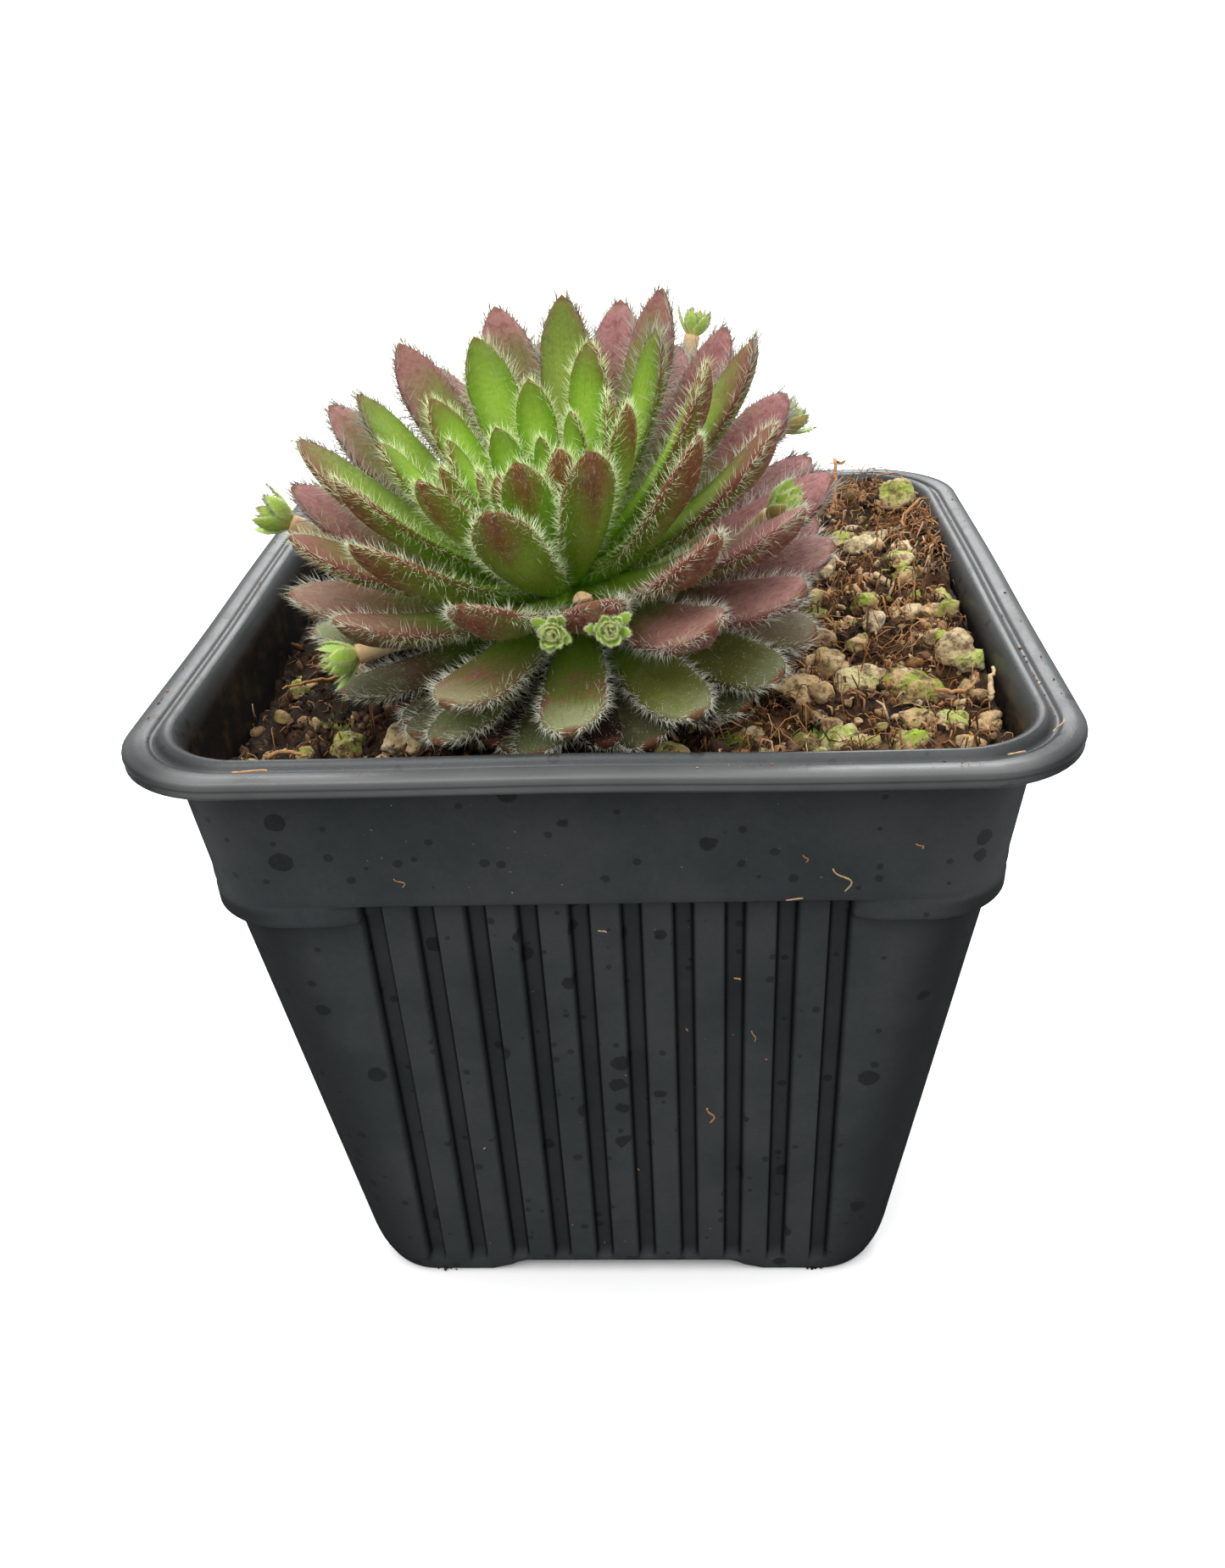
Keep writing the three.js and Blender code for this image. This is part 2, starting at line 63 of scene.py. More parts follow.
# each light: its place, what it points at, its size and its power
lights = {
    "keyLight": ((-0.22, -0.30, 0.62), (0, 0, 0.07), 0.45, 1.6),
    "fillLight": ((0.45, -0.25, 0.40), (0, 0, 0.05), 0.50, 0.3),
    "rearLight": ((0.02, 0.75, 0.62), (0, 0, 0.08), 0.70, 6.0),
}


def link(name, data):
    made = bpy.data.objects.new(name, data)
    bpy.context.scene.collection.objects.link(made)
    return made


def addCamera():
    down, yaw, roll = (math.radians(view[k]) for k in ("down", "yaw", "roll"))
    ahead = Vector((math.sin(yaw) * math.cos(down), math.cos(yaw) * math.cos(down), -math.sin(down)))
    right = ahead.cross(Vector((0, 0, 1))).normalized()
    up = right.cross(ahead)
    side = right * math.cos(roll) + up * math.sin(roll)
    top = up * math.cos(roll) - right * math.sin(roll)
    lens = bpy.data.cameras.new("mainView")
    lens.lens = view["lens"]
    lens.sensor_width = 36
    lens.clip_start = 0.01
    camera = link("mainView", lens)
    place = [part * mm for part in view["place"]]
    camera.matrix_world = Matrix((*zip(side, top, -ahead, place), (0, 0, 0, 1)))
    bpy.context.scene.camera = camera


def addAreaLight(name, place, target, size, power):
    lamp = bpy.data.lights.new(name, "AREA")
    lamp.shape = "DISK"
    lamp.size = size
    lamp.energy = power
    light = link(name, lamp)
    light.location = place
    light.rotation_euler = (Vector(target) - Vector(place)).to_track_quat("-Z", "Y").to_euler()


def addSky():
    # brighter overhead than at the horizon, and plain white where the camera sees it
    world = bpy.data.worlds.new("studio")
    bpy.context.scene.world = world
    world.use_nodes = True
    tree = Tree(world.node_tree)
    sky = world.node_tree.nodes["Background"]
    toSky = tree.add("ShaderNodeTexCoord").outputs["Generated"]
    height = tree.make("ShaderNodeSeparateXYZ", {0: toSky}).outputs["Z"]
    glow = tree.ramp(height, *view["skyRise"], view["skyLow"], view["skyTop"])
    seen = tree.add("ShaderNodeLightPath").outputs["Is Camera Ray"]
    tree.join(tree.ramp(seen, 0, 1, glow, view["skySeen"], False), sky.inputs["Strength"])
    sky.inputs["Color"].default_value = (1, 1, 1, 1)


def addFloor():
    # pale for the camera, and darker in what it throws back on to the pot
    bpy.ops.mesh.primitive_plane_add(size=30, location=(0, 0, 0))
    floor = bpy.context.active_object
    floor.name = "floor"
    material, tree, shader = startMaterial("floorPaint", Roughness=0.8, Specular_IOR_Level=0.0)
    seen = tree.add("ShaderNodeLightPath").outputs["Is Camera Ray"]
    pale, dim = view["floorShade"], view["floorBounce"]
    tree.join(tree.mix(seen, (dim, dim, dim), (pale, pale, pale)), shader["Base Color"])
    floor.data.materials.append(material)


def addStudio():
    addSky()
    for name, (place, target, size, power) in lights.items():
        addAreaLight(name, place, target, size, power)
    addFloor()
    scene = bpy.context.scene
    scene.view_settings.view_transform = "Standard"
    scene.view_settings.look = "None"


# Small tools for meshes and noise.

def makeMesh(name, points, faceSets, material, layers=None):
    mesh = bpy.data.meshes.new(name)
    faceSets = [faces for faces in faceSets if len(faces)]
    corners = np.concatenate([faces.ravel() for faces in faceSets]).astype(np.int32)
    sizes = np.concatenate([np.full(len(faces), faces.shape[1]) for faces in faceSets])
    starts = (np.cumsum(sizes) - sizes).astype(np.int32)
    mesh.vertices.add(len(points))
    mesh.vertices.foreach_set("co", (np.asarray(points) * mm).astype(np.float32).ravel())
    mesh.loops.add(len(corners))
    mesh.loops.foreach_set("vertex_index", corners)
    mesh.polygons.add(len(sizes))
    mesh.polygons.foreach_set("loop_start", starts)
    mesh.polygons.foreach_set("use_smooth", np.full(len(sizes), True))
    mesh.update(calc_edges=True)
    for layer, values in (layers or {}).items():
        # a value for the whole piece or for each item in it is repeated for each point
        values = np.atleast_1d(values).ravel().astype(np.float32)
        store = mesh.attributes.new(layer, "FLOAT", "POINT")
        store.data.foreach_set("value", np.repeat(values, len(points) // len(values)))
    mesh.materials.append(material)
    return link(name, mesh)


def settle(piece, nodes=()):
    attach(piece, "root")
    if nodes:
        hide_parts(*nodes)


def addPiece(name, points, faces, material, layers=None, slotName="soil", nodes=()):
    settle(makeMesh(name, points, faces, material, layers), nodes)


def ringFaces(rings, around):
    # quads between closed rings that rise while their points run counterclockwise
    row = np.arange(rings - 1)[:, None] * around
    col = np.arange(around)[None, :]
    nxt = (col + 1) % around
    quads = np.stack([row + col, row + nxt, row + around + nxt, row + around + col], -1)
    return quads.reshape(-1, 4)


def closedRings(rings, around):
    # the skin between the rings, with a lid on the first and on the last
    lid = np.arange(around)[None]
    return [ringFaces(rings, around), lid[:, ::-1], lid + (rings - 1) * around]


def repeatFaces(faces, count, step):
    return (faces[None] + (np.arange(count) * step)[:, None, None]).reshape(-1, faces.shape[1])


def unit(vectors):
    return vectors / np.maximum(np.linalg.norm(vectors, axis=-1, keepdims=True), 1e-9)


def smoothStep(low, high, value):
    share = np.clip((value - low) / (high - low), 0, 1)
    return share * share * (3 - 2 * share)


def valueNoise(points, size, seed):
    # smooth lattice noise from -1 to 1: each lattice corner gets a hashed value
    place = np.asarray(points, float) / size
    cell = np.floor(place).astype(np.int64)
    part = place - cell
    part = part * part * (3 - 2 * part)
    total = np.zeros(len(place))
    for corner in range(8):
        step = np.array([corner & 1, corner >> 1 & 1, corner >> 2 & 1])
        key = (cell + step) * np.array([73856093, 19349663, 83492791])
        mixed = (key[:, 0] ^ key[:, 1] ^ key[:, 2] ^ (seed * 2654435761)) & 0xFFFFFFFF
        for shift, factor in ((15, 2246822519), (13, 3266489917)):
            mixed = ((mixed ^ (mixed >> shift)) * factor) & 0xFFFFFFFF
        value = (mixed ^ (mixed >> 16)) / 0x7FFFFFFF - 1
        weight = np.prod(np.where(step, part, 1 - part), axis=1)
        total += value * weight
    return total


def icoSphere(detail):
    # unit sphere points and triangles
    gold = (1 + 5 ** 0.5) / 2
    points = [(-1, gold, 0), (1, gold, 0), (-1, -gold, 0), (1, -gold, 0), (0, -1, gold), (0, 1, gold),
              (0, -1, -gold), (0, 1, -gold), (gold, 0, -1), (gold, 0, 1), (-gold, 0, -1), (-gold, 0, 1)]
    faces = [(0, 11, 5), (0, 5, 1), (0, 1, 7), (0, 7, 10), (0, 10, 11), (1, 5, 9), (5, 11, 4),
             (11, 10, 2), (10, 7, 6), (7, 1, 8), (3, 9, 4), (3, 4, 2), (3, 2, 6), (3, 6, 8),
             (3, 8, 9), (4, 9, 5), (2, 4, 11), (6, 2, 10), (8, 6, 7), (9, 8, 1)]
    points = [Vector(p).normalized() for p in points]
    for _ in range(detail):
        middles = {}
        finer = []

        def middle(a, b):
            key = (min(a, b), max(a, b))
            if key not in middles:
                middles[key] = len(points)
                points.append(((points[a] + points[b]) / 2).normalized())
            return middles[key]

        for a, b, c in faces:
            ab, bc, ca = middle(a, b), middle(b, c), middle(c, a)
            finer += [(a, ab, ca), (b, bc, ab), (c, ca, bc), (ab, bc, ca)]
        faces = finer
    return np.array(points), np.array(faces)


# Tools for shaders.

class Tree:
    # a short way to add and join shader nodes
    def __init__(self, tree):
        self.tree = tree

    def add(self, kind, **settings):
        item = self.tree.nodes.new(kind)
        for key, value in settings.items():
            setattr(item, key, value)
        return item

    def join(self, source, target):
        self.tree.links.new(source, target)

    def feed(self, socket, value):
        if isinstance(value, bpy.types.NodeSocket):
            self.join(value, socket)
        elif isinstance(value, tuple) and len(value) == 3 and socket.type == "RGBA":
            socket.default_value = (*value, 1)
        else:
            socket.default_value = value

    def make(self, kind, values, **settings):
        # a node whose inputs, by name or number, are fed with values or with other nodes
        item = self.add(kind, **settings)
        for key, value in values.items():
            self.feed(item.inputs[key], value)
        return item

    def layer(self, name):
        return self.add("ShaderNodeAttribute", attribute_name=name).outputs["Fac"]

    def place(self):
        return self.add("ShaderNodeTexCoord").outputs["Object"]

    def noise(self, scale, detail=3.0, roughness=0.55, vector=None):
        place = vector or self.place()
        values = {"Scale": scale, "Detail": detail, "Roughness": roughness, "Vector": place}
        return self.make("ShaderNodeTexNoise", values).outputs["Fac"]

    def cells(self, scale, output="Distance"):
        values = {"Scale": scale, "Vector": self.place()}
        return self.make("ShaderNodeTexVoronoi", values).outputs[output]

    def math(self, operation, *values, clamp=False):
        numbered = dict(enumerate(values))
        return self.make("ShaderNodeMath", numbered, operation=operation, use_clamp=clamp).outputs[0]

    def minus(self, first, second):
        return self.math("SUBTRACT", first, second)

    def times(self, first, second):
        return self.math("MULTIPLY", first, second)

    def plus(self, first, second):
        return self.math("ADD", first, second)

    def timesPlus(self, first, second, third):
        return self.math("MULTIPLY_ADD", first, second, third)

    def shake(self, value, by, amount):
        # moves a value up and down by what goes from 0 to 1
        return self.plus(value, self.timesPlus(by, amount, -amount / 2))

    def ramp(self, value, low, high, outLow=0.0, outHigh=1.0, smooth=True):
        values = {"Value": value, "From Min": low, "From Max": high, "To Min": outLow, "To Max": outHigh}
        kind = "SMOOTHSTEP" if smooth else "LINEAR"
        return self.make("ShaderNodeMapRange", values, interpolation_type=kind).outputs["Result"]

    def mix(self, share, first, second):
        # a colour mix has its factor, colours and result at these numbers
        return self.make("ShaderNodeMix", {0: share, 6: first, 7: second}, data_type="RGBA").outputs[2]

    def tones(self, value, color, *steps):
        # from one colour to the next as the value rises: each step is (low, high, colour)
        for low, high, other in steps:
            color = self.mix(self.ramp(value, low, high), color, other)
        return color

    def coats(self, color, *layers):
        # paints colours over a colour: each layer is (share, colour)
        for share, other in layers:
            color = self.mix(share, color, other)
        return color

    def bump(self, height, strength, distance):
        values = {"Height": height, "Strength": strength, "Distance": distance}
        return self.make("ShaderNodeBump", values).outputs["Normal"]

    def upward(self, low, high):
        # how far the surface faces the sky
        normal = self.add("ShaderNodeNewGeometry").outputs["Normal"]
        return self.ramp(self.make("ShaderNodeSeparateXYZ", {0: normal}).outputs["Z"], low, high)

    def vector(self, *values):
        return self.make("ShaderNodeCombineXYZ", dict(enumerate(values))).outputs[0]

    def use(self, group, **values):
        return self.make("ShaderNodeGroup", values, node_tree=group).outputs


def startGroup(name, inputs, outputs):
    # inputs and outputs are (name, kind) or (name, kind, default)
    group = bpy.data.node_groups.new(name, "ShaderNodeTree")
    kinds = {"value": "NodeSocketFloat", "color": "NodeSocketColor"}
    for socket in inputs:
        made = group.interface.new_socket(socket[0], in_out="INPUT", socket_type=kinds[socket[1]])
        if len(socket) > 2:
            made.default_value = (*socket[2], 1) if socket[1] == "color" else socket[2]
    for socket in outputs:
        group.interface.new_socket(socket[0], in_out="OUTPUT", socket_type=kinds[socket[1]])
    tree = Tree(group)
    return tree, tree.add("NodeGroupInput").outputs, tree.add("NodeGroupOutput").inputs


def startMaterial(name, **values):
    # values are the plain numbers and colours of the shader's own sockets
    material = bpy.data.materials.new(name)
    material.use_nodes = True
    shader = material.node_tree.nodes["Principled BSDF"]
    for key, value in values.items():
        socket = shader.inputs[key.replace("_", " ")]
        socket.default_value = (*value, 1) if socket.type == "RGBA" and len(value) == 3 else value
    return material, Tree(material.node_tree), shader.inputs


def dress(tree, shader, color, height, strength, distance):
    tree.join(color, shader["Base Color"])
    tree.join(tree.bump(height, strength, distance), shader["Normal"])


def dressSpeckled(tree, shader, color, dark, light, scale, amount, strength, distance):
    # a colour with flecks, and a bump that follows them
    worn = tree.use(speckle, Color=color, Dark=dark, Light=light, Scale=scale, Amount=amount)
    dress(tree, shader, worn["Color"], worn["Height"], strength, distance)


# Effects that several materials share.

def speckleGroup():
    # darker and lighter flecks over a colour
    tree, given, out = startGroup("fineSpeckle",
        [("Color", "color"), ("Dark", "color"), ("Light", "color"), ("Scale", "value", 2000.0),
         ("Amount", "value", 0.5)], [("Color", "color"), ("Height", "value")])
    fine = tree.noise(given["Scale"], 4.0, 0.65)
    wide = tree.noise(tree.times(given["Scale"], 0.23), 2.0)
    dark = tree.times(tree.ramp(fine, 0.52, 0.30), given["Amount"])
    light = tree.times(tree.ramp(wide, 0.52, 0.74), given["Amount"])
    color = tree.mix(dark, given["Color"], given["Dark"])
    tree.join(tree.mix(light, color, given["Light"]), out["Color"])
    tree.join(fine, out["Height"])
    return tree.tree


def dropletGroup():
    # round dried drops: a mask, and a raised ring at each drop's edge
    tree, given, out = startGroup("driedDrops",
        [("Scale", "value", 260.0), ("Size", "value", 0.3), ("Share", "value", 0.4)],
        [("Mask", "value"), ("Edge", "value")])
    wobble = tree.noise(900.0, 2.0)
    distance = tree.cells(given["Scale"])
    chance = tree.make("ShaderNodeSeparateColor", {0: tree.cells(given["Scale"], "Color")}).outputs
    size = tree.times(given["Size"], tree.ramp(chance[1], 0, 1, 0.35, 1.0, False))
    size = tree.times(size, tree.math("LESS_THAN", chance[0], given["Share"]))
    reach = tree.shake(distance, wobble, 0.12)
    inside = tree.minus(size, reach)
    tree.join(tree.ramp(inside, 0.0, 0.03), out["Mask"])
    ring = tree.math("SUBTRACT", 1.0, tree.times(tree.math("ABSOLUTE", inside), 22.0), clamp=True)
    tree.join(tree.times(ring, tree.math("GREATER_THAN", size, 0.01)), out["Edge"])
    return tree.tree


def dustGroup():
    # settled dust: patches that favour faces turned upward
    tree, given, out = startGroup("settledDust",
        [("Scale", "value", 500.0), ("Amount", "value", 0.5), ("Upward", "value", 0.7)],
        [("Mask", "value")])
    level = tree.minus(1.0, given["Upward"])
    upward = tree.timesPlus(tree.upward(-0.2, 0.9), given["Upward"], level)
    patches = tree.ramp(tree.noise(given["Scale"], 6.0, 0.7), 0.45, 0.72)
    tree.join(tree.times(tree.times(patches, upward), given["Amount"]), out["Mask"])
    return tree.tree


speckle = speckleGroup()
drops = dropletGroup()
dust = dustGroup()
addCamera()
addStudio()
print("camera, lights and floor placed")


# The pot: its outside from the foot to the rim, and its inside down to the floor.

pot = {
    "height": 77.0,
    "rimHalf": 45.0,
    "bandTopHalf": 41.4,
    "bandLowHalf": 40.0,
    "bandBottom": 60.0,
    "bodyTopHalf": 38.8,
    "bodyLowHalf": 31.8,
    "bodyLow": 6.0,
    "baseHalf": 30.4,
    "wall": 1.9,
    "kneeLow": 58.0,
    "kneeHigh": 62.5,
    "kneeHighHalf": 38.6,
    "mouthHalf": 40.1,
    "floor": 2.6,
    "grooveCount": 10,
    "groovePitch": 5.1,
    "grooveWidth": 2.4,
    "grooveFloor": 1.8,
    "grooveDepth": 1.35,
    "grooveBottom": 2.6,
    "lugHalf": 39.9,
    "lugBottom": 57.4,
    "lugRun": 22.0,
    "archHalf": 14.0,
    "archHeight": 1.5,
    "archSlope": 3.0,
    "drainCorner": 3.5,
    "drainPlace": 18.0,
    "drainMiddle": 5.0,
    "drainSpan": (-2.0, 8.0),
    "drainSides": 48,
    "bandLow": 61.0,
    "bandRun": 13.0,
    "footTop": 3.4,
    "columnReach": 24.7,
    "cornerColumns": 30,
    "rimWave": 0.12,
    "roundingSteps": 3,
    "bodyCorner": 7.6,
    "wallCorner": 9.5,
    "plastic": (0.026, 0.033, 0.035),
}

# the rows just under the step, where the lugs begin
stepHeights = (56.7, 57.05, 57.3, 57.5, 57.75, 58.2, 58.8, 59.2, 59.45)

# the rolled rim: how far in from its edge, how far under its top, corner radius, rounding
rimProfile = [
    (0.9, 2.15, 10.3, 0.2),
    (0.35, 2.3, 10.5, 0.12),
    (0.05, 2.0, 10.6, 0.2),
    (0.22, 1.45, 10.6, 0.1),
    (0, 1.2, 10.7, 0.15),
    (0.05, 0.5, 10.6, 0.4),
    (1.0, 0.28, 10.2, 0.3),
    (2.0, 0.42, 9.7, 0.3),
    (2.35, 0.85, 9.5, 0.15),
    (2.75, 0.82, 9.3, 0.2),
    (3.15, 0.1, 9.1, 0.45),
    (3.8, -0.05, 8.9, 0.5),
    (4.5, 0.7, 8.6, 0.6),
]


def cavityHalf(height):
    kneeHalf = pot["bodyTopHalf"] - pot["wall"]
    if height < pot["kneeLow"]:
        share = (pot["kneeLow"] - height) / (pot["kneeLow"] - pot["bodyLow"])
        return kneeHalf - share * (pot["bodyTopHalf"] - pot["bodyLowHalf"])
    if height < pot["kneeHigh"]:
        share = (height - pot["kneeLow"]) / (pot["kneeHigh"] - pot["kneeLow"])
        return kneeHalf + share * (pot["kneeHighHalf"] - kneeHalf)
    share = (height - pot["kneeHigh"]) / (pot["height"] - pot["kneeHigh"])
    return pot["kneeHighHalf"] + share * (pot["mouthHalf"] - pot["kneeHighHalf"])


def bodyHalf(height):
    share = (height - pot["bodyLow"]) / (pot["bandBottom"] - pot["bodyLow"])
    return pot["bodyLowHalf"] + share * (pot["bodyTopHalf"] - pot["bodyLowHalf"])


def bandHalf(height):
    share = (height - pot["bandLow"]) / pot["bandRun"]
    return pot["bandLowHalf"] + share * (pot["bandTopHalf"] - pot["bandLowHalf"])


def faceColumns():
    # places along a face: crisp groove walls, with a few columns between them
    half = pot["grooveWidth"] / 2
    low = pot["grooveFloor"] / 2
    offsets = [-half - 0.22, -half, -low, -low + 0.36, low - 0.36, low, half, half + 0.22]
    columns = []
    for i in range(pot["grooveCount"]):
        middle = (i - (pot["grooveCount"] - 1) / 2) * pot["groovePitch"]
        columns += [middle + offset for offset in offsets]
    return np.array([-pot["columnReach"]] + columns)


faceColumnX = faceColumns()
roundCorner = 999.0  # stands for the place along a face of what lies round the corner


def nearestGroove(x):
    pitch = pot["groovePitch"]
    return (np.round(x / pitch - 0.5) + 0.5) * pitch


def grooveShare(x):
    # 1 on the floor of a groove, 0 on the land beside it
    last = (pot["grooveCount"] - 1) / 2 * pot["groovePitch"]
    away = np.abs(x - np.clip(nearestGroove(x), -last, last))
    half, floorHalf = pot["grooveWidth"] / 2, (pot["grooveWidth"] - pot["grooveFloor"]) / 2
    return np.clip((half - away) / floorHalf, 0, 1)


def faceOutline(half, corner):
    # one quarter of a ring: along the front face, then round the corner at +x, -y
    reach = min(pot["columnReach"], 0.84 * half)
    straight = half - corner
    x = faceColumnX * reach / pot["columnReach"]
    over = np.clip(np.abs(x) - straight, 0, corner * 0.999)
    y = -straight - np.sqrt(corner ** 2 - over ** 2)
    out = np.stack([np.sign(x) * over, y + straight], -1)
    line = max(straight - reach, 0.0)
    begin = math.asin(min(max(reach - straight, 0.0) / corner, 0.7))
    arc = corner * (math.pi / 2 - 2 * begin)
    travel = np.arange(pot["cornerColumns"]) / pot["cornerColumns"] * (arc + 2 * line)
    angle = begin + np.clip(travel - line, 0, arc) / corner
    cornerX = np.where(travel < line, reach + travel, straight + corner * np.sin(angle))
    cornerY = -straight - corner * np.cos(angle)
    late = travel > line + arc
    cornerY = np.where(late, -straight + travel - line - arc, cornerY)
    cornerX = np.where(late, half, cornerX)
    cornerOut = np.stack([np.sin(angle), -np.cos(angle)], -1)
    points = np.concatenate([np.stack([x, y], -1), np.stack([cornerX, cornerY], -1)])
    away = np.concatenate([out / corner, cornerOut])
    alongFace = np.concatenate([np.abs(x), np.minimum(np.abs(cornerX), np.abs(cornerY))])
    onFace = np.concatenate([x, np.full(len(cornerX), roundCorner)])
    return points, away, alongFace, onFace


def baseLift(x, y):
    # the base is arched up between its four corner feet
    def band(value):
        inner = pot["archHalf"] - pot["archSlope"] * 0.6
        outer = pot["archHalf"] + pot["archSlope"] * 0.6
        return 1 - smoothStep(inner, outer, np.abs(value))
    return pot["archHeight"] * np.maximum(band(x), band(y))


def roundedRows(profile):
    # turns (half, height, corner, rounding) points into rows, with an arc at each rounded point
    rows = []
    for i, point in enumerate(profile):
        here = np.array(point[:3], float)
        rounding = point[3] if len(point) > 3 else 0
        if not rounding or i in (0, len(profile) - 1):
            rows.append(here)
            continue
        back = np.array(profile[i - 1][:3], float) - here
        on = np.array(profile[i + 1][:3], float) - here
        backStep = min(rounding / np.linalg.norm(back[:2]), 0.48)
        onStep = min(rounding / np.linalg.norm(on[:2]), 0.48)
        for share in np.linspace(0, 1, pot["roundingSteps"] + 1):
            first = here + back * backStep * (1 - share)
            second = here + on * onStep * share
            rows.append(first * (1 - share) + second * share)
    return rows


def wallRows(lowHeight, highHeight, halfAt, corner, gap):
    count = max(2, int(round(abs(highHeight - lowHeight) / gap)))
    return [(halfAt(z), z, corner) for z in np.linspace(lowHeight, highHeight, count + 1)]


def potProfile():
    rim = pot["height"]
    half = pot["rimHalf"]
    outer = [(pot["baseHalf"] - 1.4, 0, 6.4, 0), (pot["baseHalf"] - 0.2, 0.0, 6.9, 0.8)]
    outer += [(pot["bodyLowHalf"] - 0.5, 3.0, 7.5, 2.0)]
    outer += wallRows(5.5, 56.2, bodyHalf, pot["bodyCorner"], 12.0)
    outer += [(bodyHalf(z), z, pot["bodyCorner"]) for z in stepHeights]
    outer += [(bodyHalf(59.6), 59.6, 7.7), (pot["bodyTopHalf"] + 0.05, 59.75, 8.0)]
    outer += [(pot["bandLowHalf"] - 0.1, 59.95, 9.0, 0.25), (pot["bandLowHalf"] + 0.05, 60.7, 9.3, 0.3)]
    outer += wallRows(62, rim - 3.4, bandHalf, pot["wallCorner"], 6.0)
    outer += [(pot["bandTopHalf"] + 0.1, rim - 2.7, 9.6, 0.5)]
    outer += [(half - inward, rim - under, corner, rounding)
              for inward, under, corner, rounding in rimProfile]
    outer += [(cavityHalf(rim - 2.4), rim - 2.4, 8.2, 0.5)]
    outer += wallRows(rim - 4, pot["kneeHigh"] + 1, cavityHalf, 7.9, 4.0)
    outer += wallRows(pot["kneeHigh"], pot["kneeLow"], cavityHalf, 7.0, 1.2)
    outer += wallRows(pot["kneeLow"] - 6, pot["bodyLow"], cavityHalf, 6.4, 9.0)
    outer += [(pot["baseHalf"] - pot["wall"] - 0.6, pot["floor"], 5.2, 1.0)]
    outer += [(share * pot["baseHalf"], pot["floor"], share * 5.0) for share in (0.75, 0.55, 0.3, 0.08)]
    return outer


def potRing(half, height, corner, outerWall):
    points, away, alongFace, onFace = faceOutline(half, corner)
    lugRamp = smoothStep(pot["lugRun"], pot["lugRun"] + 5.0, alongFace)
    if outerWall and pot["grooveBottom"] - 1 < height < pot["bandBottom"] - 0.45:
        fade = float(smoothStep(pot["grooveBottom"] - 0.6, pot["grooveBottom"] + 1.2, height))
        deep = grooveShare(onFace) * (onFace < roundCorner) * pot["grooveDepth"] * fade
        points = points - away * deep[:, None]
    if outerWall and pot["lugBottom"] - 0.5 < height < pot["bandBottom"] + 0.1:
        rise = float(smoothStep(pot["lugBottom"] - 0.4, pot["lugBottom"] + 0.25, height))
        stand = max(pot["lugHalf"] - half, 0) * rise
        points = points + away * (lugRamp * stand)[:, None]
    ring = []
    for cos, sin in ((1, 0), (0, 1), (-1, 0), (0, -1)):
        ring.append(np.stack([cos * points[:, 0] - sin * points[:, 1],
                              sin * points[:, 0] + cos * points[:, 1]], -1))
    ring = np.concatenate(ring)
    z = np.full(len(ring), float(height))
    if height < pot["footTop"]:
        z += baseLift(ring[:, 0], ring[:, 1]) * (1 - height / pot["footTop"])
    if outerWall and height > pot["height"] - 4:
        turn = np.arctan2(ring[:, 1], ring[:, 0])
        z += pot["rimWave"] * (np.sin(3 * turn + 1.1) + 0.6 * np.sin(7 * turn))
    return np.column_stack([ring, z])


